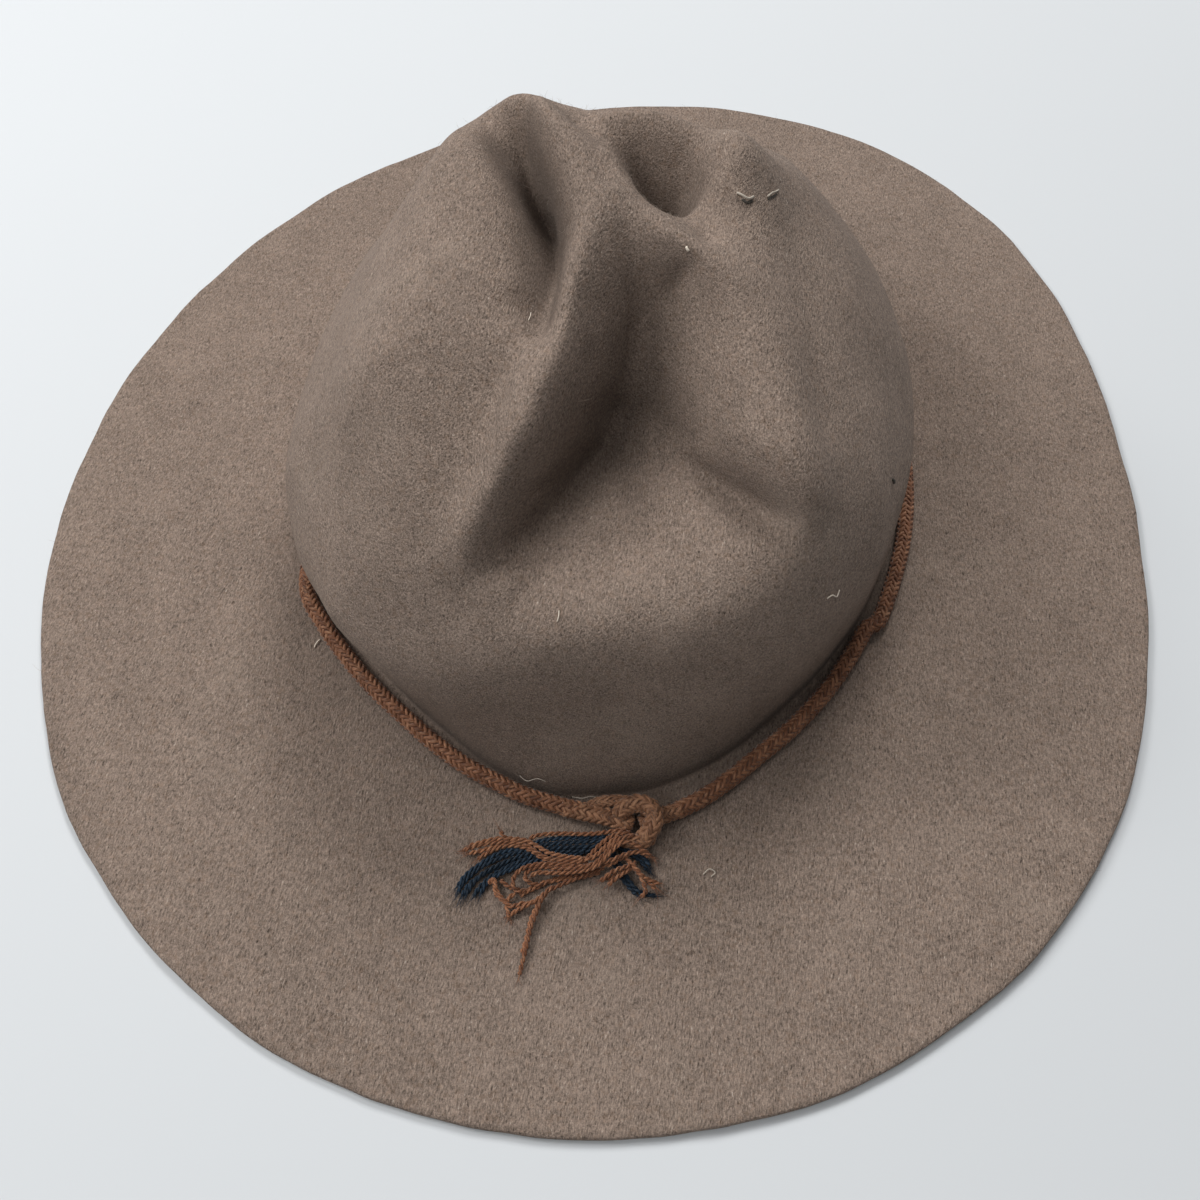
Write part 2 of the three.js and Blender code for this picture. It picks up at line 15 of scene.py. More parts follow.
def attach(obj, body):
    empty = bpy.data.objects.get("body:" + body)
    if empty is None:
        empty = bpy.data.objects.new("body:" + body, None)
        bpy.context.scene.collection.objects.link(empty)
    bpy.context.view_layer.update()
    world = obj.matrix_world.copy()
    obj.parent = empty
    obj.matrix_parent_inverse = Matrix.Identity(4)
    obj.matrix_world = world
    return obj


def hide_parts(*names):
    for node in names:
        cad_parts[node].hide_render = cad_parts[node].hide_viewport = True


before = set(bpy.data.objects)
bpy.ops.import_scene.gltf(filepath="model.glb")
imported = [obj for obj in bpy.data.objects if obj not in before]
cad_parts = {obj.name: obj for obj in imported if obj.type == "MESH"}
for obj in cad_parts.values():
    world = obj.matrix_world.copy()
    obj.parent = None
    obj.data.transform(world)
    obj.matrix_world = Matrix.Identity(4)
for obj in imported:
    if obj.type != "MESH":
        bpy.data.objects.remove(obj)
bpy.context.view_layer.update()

bl_info = {
    "name": "Scout Hat",
    "version": (1, 0, 0),
    "blender": (4, 5, 0),
    "location": "View3D > Sidebar > Scout Hat",
    "description": "Makes the felt, cord, knot and tassels of a scout hat",
    "category": "Object",
}

BODY = "root"
METRE = 1000.0
TURN = 2 * math.pi

# The open crown before it is dented: at each height, the half size towards the front, right,
# back and left, as a share of the head oval's half size.
CROWN_TOP = 114
SECTIONS = np.array([
    # height, front, right, back, left
    (2, 1, 1, 1, 1),
    (35, 1.01, 0.985, 0.985, 1.01),
    (50, 1.01, 0.925, 0.92, 0.955),
    (60, 1, 0.86, 0.82, 0.88),
    (70, 0.975, 0.79, 0.69, 0.795),
    (80, 0.925, 0.71, 0.56, 0.72),
    (88, 0.81, 0.6, 0.45, 0.63),
    (96, 0.6, 0.45, 0.335, 0.52),
    (104, 0.39, 0.28, 0.22, 0.38),
    (110, 0.21, 0.15, 0.12, 0.23),
    (CROWN_TOP, 0, 0, 0, 0),
], float)
HEIGHT, FRONT, RIGHT, BACK, LEFT = range(5)
CROWN_HEART = np.array((0, 0, 30), float)

# The ridges, creases and dents of the crown: the line that each one follows over the felt
FOLDS = {
    "bump": [(-33.5, 40, 97.5), (-30, 39.5, 99.5), (-26, 39.5, 100), (-21.5, 35, 100.5)],
    "left rim": [(-27.5, 30, 99), (-21.5, 19.5, 101), (-15, 9, 103), (-9.5, -1, 104.5)],
    "front left ridge": [
        (-7, -6.5, 103.5), (-6.5, -17.5, 102), (-6, -28, 100), (-4.5, -37.5, 97.5), (-4.5, -46, 94),
        (-5.5, -53, 90.5), (-7, -59.5, 87), (-11, -66, 82), (-14.5, -72.5, 76.5), (-17.5, -78, 71.5),
        (-20.5, -82.5, 67.5),
    ],
    "spine": [(-15, 28.5, 101.5), (-5.5, 14, 105), (-2.5, 3.5, 104.5)],
    "left shoulder": [
        (-17.5, -35.5, 93.5), (-17, -45.5, 90), (-19, -58, 83.5), (-25, -71.5, 74.5),
        (-31.5, -81, 65.5),
    ],
    "pocket rim": [
        (-3, 15.5, 104.5), (3, 3.5, 103.5), (8.5, -3.5, 102.5), (13.5, -8.5, 101), (21.5, -13, 98.5),
        (27.5, -19, 96), (32, -26.5, 92.5), (34, -35.5, 89.5), (35, -45, 86), (37.5, -52.5, 83),
        (43, -58, 80), (50.5, -62, 77),
    ],
    "front panel": [
        (2, -7.5, 102), (5.5, -12.5, 95), (8.5, -16, 85), (7.5, -21.5, 79), (6.5, -28, 72),
        (4.5, -31, 66),
    ],
    "panel right side": [
        (16.5, -12.5, 90.5), (19, -21, 85), (21.5, -29, 80), (24, -36.5, 76), (25.5, -42, 72),
    ],
    "panel left side": [
        (-1, -25, 95), (-0.5, -32.5, 90), (-1, -40, 85), (-2.5, -46, 79.5), (-5, -53, 75),
        (-9, -61, 69.5),
    ],
    "front left crease": [
        (5.5, -32.5, 64.5), (3, -37.5, 61.5), (-1, -44, 58.5), (-3, -53.5, 58.5), (-7, -65, 60.5),
        (-14, -76, 65),
    ],
    "front right crease": [
        (13, -36, 65), (21.5, -42.5, 67.5), (28.5, -47.5, 68.5), (35.5, -53, 68.5), (42.5, -58, 69.5),
        (48.5, -63, 71.5),
    ],
    "crease end": [
        (-25, -84, 64.5), (-17, -83.5, 64.5), (-9.5, -81, 64),
    ],
    "front shelf": [(10.5, -54, 61), (18, -53, 65), (27, -61, 68)],
    "front crest": [
        (-50, -83, 53), (-35.5, -87, 58), (-18.5, -88, 61), (-3, -86, 61), (9.5, -82.5, 61),
        (22.5, -77.5, 63.5), (35, -72.5, 67.5), (46.5, -68, 70.5),
    ],
    "front slope": [
        (-35, -91, 53), (-17.5, -94, 56), (-2, -93, 57.5), (10.5, -88.5, 58.5), (23, -83, 61),
    ],
    "front lip": [
        (-55, -85, 44.5), (-47.5, -89.5, 44.5), (-39, -94, 45), (-27, -97.5, 47), (-13, -98.5, 49),
        (-1.5, -97, 50.5), (9, -93.5, 52.5), (21, -88.5, 56.5), (32, -82.5, 62), (42, -77, 65.5),
    ],
    "front wall": [(-11.5, -100, 34), (5, -98, 34), (21, -94.5, 37), (34, -89, 43)],
    "right brow": [(56, -62, 70), (62.5, -52.5, 68), (68, -40, 66)],
    "left groove": [
        (-35, 37, 94.5), (-32, 32.5, 91.5), (-27.5, 28.5, 87), (-21.5, 20.5, 84.5), (-16.5, 12, 82.5),
        (-13.5, -1.5, 84.5), (-11.5, -19, 88), (-11, -33.5, 91),
    ],
    "left bank": [
        (-39, 30.5, 95.5), (-33, 18.5, 96), (-26.5, 4.5, 96), (-22.5, -10.5, 95.5), (-20, -23, 95),
    ],
    "right pocket": [(1, 25, 95.5), (3.5, 23, 92), (7, 19.5, 88), (11, 16, 84.5)],
    "pocket top": [(4, 26, 97), (9.5, 26, 97)],
    "pocket side": [(14, 25, 96.5), (15, 21, 93), (15, 17, 89.5), (15, 11, 86.5)],
    "back right ridge": [(-5.5, 30.5, 103), (1.5, 30.5, 102), (8.5, 30.5, 101), (14.5, 30, 100)],
    "behind ridge": [(-14, 50, 88), (-3, 44, 91), (12, 44, 90), (24, 41, 89)],
    "right bank": [(18.5, 24, 100.5), (19.5, 14.5, 99.5), (20.5, 5, 98), (22, -3.5, 97)],
    "right cheek": [(40, 22.5, 92), (46.5, -12.5, 87), (54.5, -42.5, 79)],
    "back left ridge": [(-27, 44, 95), (-33, 58, 84), (-38, 72, 70)],
    "back valley": [(-10, 56, 82), (-4, 76, 63)],
    "back right side": [(28, 46, 88), (38, 67, 69)],
    "left belly": [(-77, -48, 46), (-69, -68, 37), (-60, -76, 27)],
    "left front foot": [(-59, -71, 5), (-40, -86, 5), (-21, -98, 5)],
    "right front foot": [(74, -43.5, 4), (63, -63, 4), (48.5, -82, 4)],
}
FOLD_STEP = 3
FOLD_ROUNDING = 1.5
FOLD_EASE = 0.5
ANCHOR_BEARINGS = 20
ANCHOR_CLEARANCE = 20
HALVINGS = 30
FURTHEST_REACH = 200
LEAST_SQUARENESS = 0.45

# The brim's cut edge: a round of this radius with waves added, as (turns, cosine, sine)
EDGE_RADIUS = 170.5
EDGE_WAVES = [(1, 0, -3.5), (2, -13, 2.2), (3, -3, -1.6), (4, -0.5, -1)]
EDGE_LIFT = 1.2
EDGE_LIFT_TURN = 0.6
INNER_BRIM_FLAT = 0.3

# How finely the felt is made
FELT_COLUMNS = 400
CROWN_ROWS = 112
BRIM_ROWS = 46
UNDER_ROWS = 23
EDGE_ROUNDING = 0.45

# How finely lines are followed: the levels down the crown's wall at one angle, the steps between
# two points of a path, and how many points are dented at a time
FINE_LEVELS = 3000
WALL_ANGLE = -1.0
FINE_STEPS = 40
BATCH = 4000

# Unevenness of the felt: the size and the depth of each kind of wave
CROWN_LUMPS = [(17, 0.55), (6, 0.16)]
EDGE_WAVER = [(26, 0.8), (7, 0.18)]
BRIM_RIPPLE = [(34, 0.8), (11, 0.18)]
FIRST_RIPPLE = 0.2

# Painted shade darkens the felt where it is closed in: each point looks out this many ways, from a
# start just over the felt as far as the reach, both in metres.
PAINTED_SHADE_RAYS = 24
PAINTED_SHADE_START = 0.0004
PAINTED_SHADE_REACH = 0.07
GOLDEN_TURN = math.pi * (3 - math.sqrt(5))

# The cord's centreline from the knot round the left side, and from the right side to the knot
CORD_LEFT = [
    (8.6, -109.2), (-4.5, -107.5), (-13, -105), (-22.5, -101.5), (-32, -96.5), (-42, -90),
    (-52, -83), (-61.5, -75), (-70, -66.5), (-78, -56),
]
CORD_RIGHT = [
    (77, -44.5), (73.5, -53), (68.5, -63.5), (63, -72.5), (57.5, -80), (51, -87.5), (45, -94.5),
    (39, -100.5), (32.6, -105.4),
]
CORD_OVER_BRIM = 0.1
CORD_BACK_CLEARANCE = 0.9
CORD_BACK_START = -160
CORD_BACK_END = -381
CORD_BACK_POINTS = 16

# The camera as it stands in the hat's frame, with a square picture of this many pixels
CAMERA_PLACE = np.array((34.0, -224.4, 285.6))
CAMERA_AIM = np.array((-0.091, 0.5325, -0.8415))
CAMERA_UP = np.array((-0.1315, 0.8312, 0.5402))
PICTURE = 1200
FOCAL_PIXELS = 1200
SENSOR = 36


class Lamp(NamedTuple):
    """A square lamp that faces the hat: its place and width in metres, and its watts."""

    name: str
    place: tuple
    width: float
    watts: float


LAMPS = [
    Lamp("left_lamp", (-0.85, 0.1, 0.9), 0.45, 7),
    Lamp("near_left_lamp", (-0.6, -0.6, 1), 0.4, 2.4),
    Lamp("back_lamp", (0.1, 1.2, 1.4), 0.6, 18),
    Lamp("wide_ceiling", (0, 0, 1.5), 2, 5.3),
]
LAMPS_FACE = Vector((0, 0, 0.05))
ROOM_COLOUR = (0.93, 0.97, 1, 1)
ROOM_STRENGTH = 0.14
FLOOR_SIZE = 6

# The pale flecks of the cord and the knot, and how far the knot is blended towards a paler colour
CORD_FLECKS = "d8b795"
KNOT_PALER = "b08664"
KNOT_PALER_SHARE = 0.22


def linear(hex_colour):
    """The linear colour of an sRGB colour written as six hex digits."""
    parts = [int(hex_colour[i:i + 2], 16) / 255 for i in (0, 2, 4)]
    return tuple(p / 12.92 if p <= 0.04045 else ((p + 0.055) / 1.055) ** 2.4 for p in parts)


class ScoutHatSettings(bpy.types.PropertyGroup):
    """The sizes and colours that a user would change."""

    head_half_width: bpy.props.FloatProperty(
        name="Head Half Width", description="Half the width of the crown at its foot",
        default=0.0835, unit="LENGTH")
    head_half_length: bpy.props.FloatProperty(
        name="Head Half Length", description="Half the length of the crown at its foot",
        default=0.105, unit="LENGTH")
    felt: bpy.props.FloatProperty(
        name="Felt", description="Thickness of the felt", default=0.002, unit="LENGTH")
    cord: bpy.props.FloatProperty(
        name="Cord", description="Thickness of the braided cord", default=0.005, unit="LENGTH")
    yarn: bpy.props.FloatProperty(
        name="Yarn", description="Thickness of a tassel's yarns", default=0.00125, unit="LENGTH")
    felt_colour: bpy.props.FloatVectorProperty(
        name="Felt Colour", description="Colour of the wool", subtype="COLOR",
        default=(0.25, 0.19, 0.153))
    cord_colour: bpy.props.FloatVectorProperty(
        name="Cord Colour", description="Colour of the cord", subtype="COLOR",
        default=linear("7a4425"))
    brown_colour: bpy.props.FloatVectorProperty(
        name="Brown Yarn Colour", description="Colour of the brown yarns", subtype="COLOR",
        default=linear("874a28"))
    navy_colour: bpy.props.FloatVectorProperty(
        name="Navy Yarn Colour", description="Colour of the navy yarns", subtype="COLOR",
        default=linear("0f1d2b"))
    floor_colour: bpy.props.FloatVectorProperty(
        name="Floor Colour", description="Colour of the floor", subtype="COLOR",
        default=(0.68, 0.7, 0.715))


class Wire:
    """One output of a node. Arithmetic on wires and numbers adds Math nodes."""

    def __init__(self, paint, socket):
        self.paint = paint
        self.socket = socket

    def maths(self, operation, *values):
        return self.paint.add("ShaderNodeMath", {"operation": operation}, dict(enumerate(values)))

    def __add__(self, other):
        return self.maths("ADD", self, other)

    def __sub__(self, other):
        return self.maths("SUBTRACT", self, other)

    def __rsub__(self, other):
        return self.maths("SUBTRACT", other, self)

    def __mul__(self, other):
        return self.maths("MULTIPLY", self, other)

    def __truediv__(self, other):
        return self.maths("DIVIDE", self, other)

    __radd__ = __add__
    __rmul__ = __mul__

    def between(self, low, high):
        """0 below low, 1 above high, and even between them."""
        settings = {"interpolation_type": "SMOOTHSTEP"}
        values = {"Value": self, "From Min": low, "From Max": high}
        return self.paint.add("ShaderNodeMapRange", settings, values)


class Paint:
    """A material whose nodes are added by value."""

    def __init__(self, name, roughness):
        self.material = bpy.data.materials.new(name)
        self.material.use_nodes = True
        self.tree = self.material.node_tree
        self.shader = self.tree.nodes["Principled BSDF"]
        self.put(self.shader, {"Roughness": roughness})

    def put(self, node, values):
        for name, value in values.items():
            if isinstance(value, Wire):
                self.tree.links.new(value.socket, node.inputs[name])
            else:
                if isinstance(value, tuple) and len(value) == 3 and node.inputs[name].type == "RGBA":
                    value = (*value, 1.0)
                node.inputs[name].default_value = value

    def add(self, kind, settings, values, output=0):
        node = self.tree.nodes.new(kind)
        for name, value in settings.items():
            setattr(node, name, value)
        self.put(node, values)
        return Wire(self, node.outputs[output])

    def mix(self, share, first, second):
        colour_inputs = {0: share, 6: first, 7: second}
        return self.add("ShaderNodeMix", {"data_type": "RGBA"}, colour_inputs, 2)

    def grain(self, place, scale, detail, roughness, distortion=0.0):
        values = {"Vector": place, "Scale": scale, "Detail": detail, "Roughness": roughness}
        values["Distortion"] = distortion
        return self.add("ShaderNodeTexNoise", {}, values, "Fac")

    def place(self):
        return self.add("ShaderNodeTexCoord", {}, {}, "Object")

    def uv(self):
        return self.add("ShaderNodeTexCoord", {}, {}, "UV")

    def mapped(self, place, scale, rotation=(0, 0, 0)):
        values = {"Vector": place, "Scale": scale, "Rotation": rotation}
        return self.add("ShaderNodeMapping", {}, values)

    def finish(self, colour, height, depth, strength):
        relief = {"Height": height, "Distance": depth, "Strength": strength}
        bump = self.add("ShaderNodeBump", {}, relief)
        self.put(self.shader, {"Base Color": colour, "Normal": bump})
        return self.material


def tint(colour, factor):
    """A colour made lighter or darker."""
    return tuple(min(1.0, c * factor) for c in colour)


def blend(first, second, share):
    """A colour part of the way from one to another."""
    return tuple(a + (b - a) * share for a, b in zip(first, second))


class Grain(NamedTuple):
    """A grain of the wool: how many fit in a metre, and how far it lightens or darkens the felt."""

    fineness: float
    depth: float


WOOL_GRAINS = [Grain(3600, 1.2), Grain(1700, 0.95), Grain(520, 0.36), Grain(90, 0.3), Grain(13, 0.24)]

# The short fibres on the felt lie in three directions, each drawn out along one axis.
FIBRE_TURNS = [(0.3, 0.2, 0.4), (1.2, 0.5, 1.6), (0.4, 1.4, 2.7)]
FIBRE_STRETCH = (1, 0.3, 1)
FIBRE_FINENESS = 2800
FIBRE_DEPTH = 2.2


def felt_finish(settings):
    """Worn wool felt: short fibres matted into fine grains of almost one hue, with painted shade in its
    folds.
    """
    base = tuple(settings.felt_colour)
    paint = Paint("wool_felt", 0.95)
    paint.put(paint.shader, {
        "Specular IOR Level": 0.12,
        "Sheen Weight": 0.04,
        "Sheen Roughness": 0.5,
        "Sheen Tint": (1, 0.95, 0.9),
    })
    place = paint.place()
    tone = 0.5 + sum((paint.grain(place, g.fineness, 2.0, 0.6) - 0.5) * g.depth for g in WOOL_GRAINS)
    fibres = [
        paint.grain(paint.mapped(place, FIBRE_STRETCH, turn), FIBRE_FINENESS, 1.0, 0.5, 0.4)
        for turn in FIBRE_TURNS
    ]
    lying = sum(fibres) / len(fibres)
    tone = tone + (lying - 0.5) * FIBRE_DEPTH
    colour = paint.mix(tone, tint(base, 0.42), tint(base, 1.58))

    ochre, pale, dark, worn = [linear(c) for c in ("7d5f45", "c3b7ab", "2b211c", "a89a8c")]
    hue = paint.grain(place, 700, 2.0, 0.6)
    colour = paint.mix((1 - hue.between(0.3, 0.5)) * 0.18, colour, ochre)
    colour = paint.mix(fibres[0].between(0.68, 0.78) * 0.5, colour, pale)
    colour = paint.mix((1 - fibres[1].between(0.24, 0.33)) * 0.6, colour, dark)
    patches = paint.grain(place, 30, 3.0, 0.6)
    colour = paint.mix(patches.between(0.55, 0.75) * 0.12, colour, worn)
    painted_shade = paint.add("ShaderNodeAttribute", {"attribute_name": "painted_shade"}, {}, "Fac")
    # Painted shade: the felt is darkened where its own folds close it in.
    colour = paint.mix(painted_shade.between(0.08, 0.62) * 0.5, colour, tint(base, 0.3))
    return paint.finish(colour, lying * 1.2 + tone * 0.4, 0.0006, 0.6)


def strand_finish(name, colour, sheen, stripes, pale):
    """Spun strands: fibres along the UV's length, in strands that differ a little in tone."""
    paint = Paint(name, 0.62)
    paint.put(paint.shader, {
        "Specular IOR Level": 0.35,
        "Sheen Weight": sheen,
        "Sheen Roughness": 0.4,
    })
    uv = paint.uv()
    fibres = paint.grain(paint.mapped(uv, (stripes, 0.5, 1)), 1.0, 2.0, 0.6, 0.4)
    along = paint.grain(paint.mapped(uv, (0.5, 0.22, 1)), 1.0, 2.0, 0.6)
    tone = paint.add("ShaderNodeAttribute", {"attribute_name": "tone"}, {}, "Fac")
    mottle = paint.grain(paint.place(), 420, 2.0, 0.6)
    shade = paint.mix(tone, tint(colour, 0.5), blend(tint(colour, 1.3), pale, 0.18))
    shade = paint.mix(fibres.between(0.5, 0.72) * 0.7, shade, blend(tint(colour, 1.5), pale, 0.4))
    shade = paint.mix((1 - fibres.between(0.3, 0.48)) * 0.75, shade, tint(colour, 0.16))
    shade = paint.mix(along.between(0.5, 0.75) * 0.35, shade, tint(colour, 0.6))
    shade = paint.mix(mottle.between(0.55, 0.8) * 0.3, shade, blend(colour, pale, 0.5))
    return paint.finish(shade, fibres, 0.00012, 0.8)


def fibre_finish(name, colour):
    """Loose fibres, each of one tone."""
    paint = Paint(name, 0.7)
    paint.put(paint.shader, {"Specular IOR Level": 0.3})
    tone = paint.add("ShaderNodeAttribute", {"attribute_name": "tone"}, {}, "Fac")
    rough = paint.grain(paint.place(), 300, 1.0, 0.5)
    shade = paint.mix(tone, tint(colour, 0.12), tint(colour, 1.35))
    return paint.finish(shade, rough, 0.00005, 0.3)


def floor_finish(settings):
    """A plain pale matt floor."""
    paint = Paint("pale_floor", 0.9)
    cloud = paint.grain(paint.place(), 3, 2.0, 0.5)
    floor = tuple(settings.floor_colour)
    colour = paint.mix(cloud, tint(floor, 0.985), tint(floor, 1.01))
    return paint.finish(colour, cloud, 0.0002, 0.2)


def through(rows, at):
    """Smooth interpolation through rows of equal steps."""
    rows = np.asarray(rows, float)
    last = len(rows) - 1
    at = np.clip(np.asarray(at, float), 0, last)
    i = np.minimum(at.astype(int), last - 1)
    t = (at - i)[..., None]
    a, b, c, d = rows[np.maximum(i - 1, 0)], rows[i], rows[i + 1], rows[np.minimum(i + 2, last)]
    bend = 2 * a - 5 * b + 4 * c - d
    return 0.5 * (2 * b + (c - a) * t + bend * t ** 2 + (3 * b - a - 3 * c + d) * t ** 3)


def unit(vectors):
    """Vectors of length one."""
    lengths = np.linalg.norm(vectors, axis=-1, keepdims=True)
    return vectors / np.maximum(lengths, 1e-12)


def lengths_along(points):
    """The length of a line up to each of its points."""
    return np.append(0, np.cumsum(np.linalg.norm(np.diff(points, axis=0), axis=1)))


class Crown:
    """The dented crown, as a push in or out from an open one."""

    def __init__(self, half_width, half_length):
        self.half = np.array((half_width, half_length))
        self.top = len(SECTIONS) - 1
        self.marks, self.weights = self.fit()

    def section(self, level, angle):
        row = through(SECTIONS, level)
        across, along = np.cos(angle), np.sin(angle)
        side = np.where(across > 0, row[..., RIGHT], row[..., LEFT])
        end = np.where(along < 0, row[..., FRONT], row[..., BACK])
        return row[..., HEIGHT], side * across ** 2 + end * along ** 2

    def open_point(self, level, angle):
        """The open crown's point at a level, which counts the rows of SECTIONS, and an angle."""
        height, share = self.section(level, angle)
        x = self.half[0] * share * np.cos(angle)
        y = self.half[1] * share * np.sin(angle)
        return np.stack((x, y, height), -1)

    def level_of(self, height):
        low = np.zeros_like(height)
        high = np.full_like(height, self.top)
        for _ in range(HALVINGS):
            middle = (low + high) / 2
            below = through(SECTIONS, middle)[..., HEIGHT] < height
            low, high = np.where(below, middle, low), np.where(below, high, middle)
        return low

    def inside(self, points):
        flat = points[:, :2] / self.half
        share = self.section(self.level_of(points[:, 2]), np.arctan2(flat[:, 1], flat[:, 0]))[1]
        return (points[:, 2] <= CROWN_TOP) & (np.hypot(flat[:, 0], flat[:, 1]) < share)

    def reach(self, directions):
        """How far the open crown's wall lies from its heart in each direction."""
        low = np.zeros(len(directions))
        high = np.full(len(directions), FURTHEST_REACH, float)
        for _ in range(HALVINGS):
            middle = (low + high) / 2
            within = self.inside(CROWN_HEART + directions * middle[:, None])
            low, high = np.where(within, middle, low), np.where(within, high, middle)
        return low

    def fold_marks(self):
        """The points of the open crown that the folds push, anchors that stay, and every push."""
        points = np.concatenate([points_along(line) for line in FOLDS.values()])
        distance = np.linalg.norm(points - CROWN_HEART, axis=1)
        direction = (points - CROWN_HEART) / distance[:, None]
        reach = self.reach(direction)
        folded = CROWN_HEART + direction * reach[:, None]
        levels = np.repeat(np.arange(self.top, dtype=float), ANCHOR_BEARINGS)
        angles = np.tile(np.arange(ANCHOR_BEARINGS) / ANCHOR_BEARINGS * TURN, self.top)
        anchors = self.open_point(levels, angles)
        gaps = np.linalg.norm(anchors[:, None] - folded[None], axis=-1).min(1)
        anchors = anchors[gaps > ANCHOR_CLEARANCE]
        return np.concatenate([folded, anchors]), np.append(distance - reach, np.zeros(len(anchors)))

    def fit(self):
        """The weights of one smooth push that meets every mark."""
        marks, pushes = self.fold_marks()
        count = len(marks)
        matrix = np.ones((count + 1, count + 1))
        matrix[:count, :count] = self.spread(marks, marks) - FOLD_EASE * np.eye(count)
        matrix[count, count] = 0
        return marks, np.linalg.solve(matrix, np.append(pushes, 0))

    @staticmethod
    def spread(points, marks):
        gaps = ((points[:, None] - marks[None]) ** 2).sum(-1)
        return np.sqrt(gaps + FOLD_ROUNDING ** 2)

    def dented(self, points):
        flat = points.reshape(-1, 3)
        batches = np.array_split(flat, max(1, len(flat) // BATCH))
        push = np.concatenate([self.spread(b, self.marks) @ self.weights[:-1] for b in batches])
        direction = unit(flat - CROWN_HEART)
        return (flat + direction * (push + self.weights[-1])[:, None]).reshape(points.shape)

    def row_levels(self, rows):
        """Levels that share out the wall evenly, from the top down to the foot."""
        fine = np.linspace(self.top, 0, FINE_LEVELS)
        wall = self.open_point(fine, np.full(len(fine), WALL_ANGLE))
        lengths = lengths_along(wall)
        return np.interp(np.arange(1, rows + 1) / rows * lengths[-1], lengths, fine)


def points_along(line):
    line = np.array(line, float)
    points = []
    for i, (start, end) in enumerate(zip(line, line[1:])):
        steps = max(1, round(float(np.linalg.norm(end - start)) / FOLD_STEP))
        points.append(through(line, i + np.arange(steps) / steps))
    return np.concatenate([*points, line[-1:]])


def brim_edge(bearing):
    return EDGE_RADIUS + sum(c * np.cos(n * bearing) + s * np.sin(n * bearing) for n, c, s in EDGE_WAVES)


def brim_lift(share, bearing):
    out = np.maximum(0, (share - INNER_BRIM_FLAT) / (1 - INNER_BRIM_FLAT))
    return EDGE_LIFT * out ** 2 * 0.5 * (1 + np.cos(2 * bearing + EDGE_LIFT_TURN))


def outline_middle():
    bearing = np.radians(np.arange(360))
    x, y = brim_edge(bearing) * np.cos(bearing), brim_edge(bearing) * np.sin(bearing)
    return np.array(((x.min() + x.max()) / 2, (y.min() + y.max()) / 2, 0))


MIDDLE = outline_middle()


def in_part(points):
    """Points of the hat's frame as metres in the part's frame."""
    return (np.asarray(points, float) - MIDDLE) / METRE


def camera_axes():
    aim = unit(CAMERA_AIM)
    up = unit(CAMERA_UP - aim * (CAMERA_UP @ aim))
    return np.cross(aim, up), up, aim


def sight(px, py):
    """The direction in which the camera sees a pixel."""
    right, up, aim = camera_axes()
    across, down = (px - PICTURE / 2) / FOCAL_PIXELS, (py - PICTURE / 2) / FOCAL_PIXELS
    return aim + across * right - down * up


def seen_at(px, py, height):
    """The point at a height where the camera sees a pixel."""
    direction = sight(px, py)
    return CAMERA_PLACE + direction * (height - CAMERA_PLACE[2]) / direction[2]


def uneven(points, size, depth):
    """A smooth unevenness of that size and depth."""
    flat = points.reshape(-1, 3) / size
    values = [noise.noise(Vector(p)) for p in flat.tolist()]
    return depth * np.array(values).reshape(points.shape[:-1])


def waves(points, sizes_and_depths):
    return sum(uneven(points, size, depth) for size, depth in sizes_and_depths)


def deselect_all():
    if bpy.context.object and bpy.context.object.mode != "OBJECT":
        bpy.ops.object.mode_set(mode="OBJECT")
    bpy.ops.object.select_all(action="DESELECT")


def dress(piece, name, slot, *nodes):
    """Names a finished piece and ties it to the part."""
    piece.name = name
    piece.data.name = name
    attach(piece, BODY)
    if nodes:
        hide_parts(*nodes)


def grid_normals(rows):
    """The outward direction at each point of the crown's rows."""
    down = np.gradient(rows, axis=0)
    around = np.roll(rows, -1, axis=1) - np.roll(rows, 1, axis=1)
    normals = unit(np.cross(down, around))
    outward = (normals * (rows - CROWN_HEART)).sum(-1, keepdims=True)
    return np.where(outward < 0, -normals, normals)


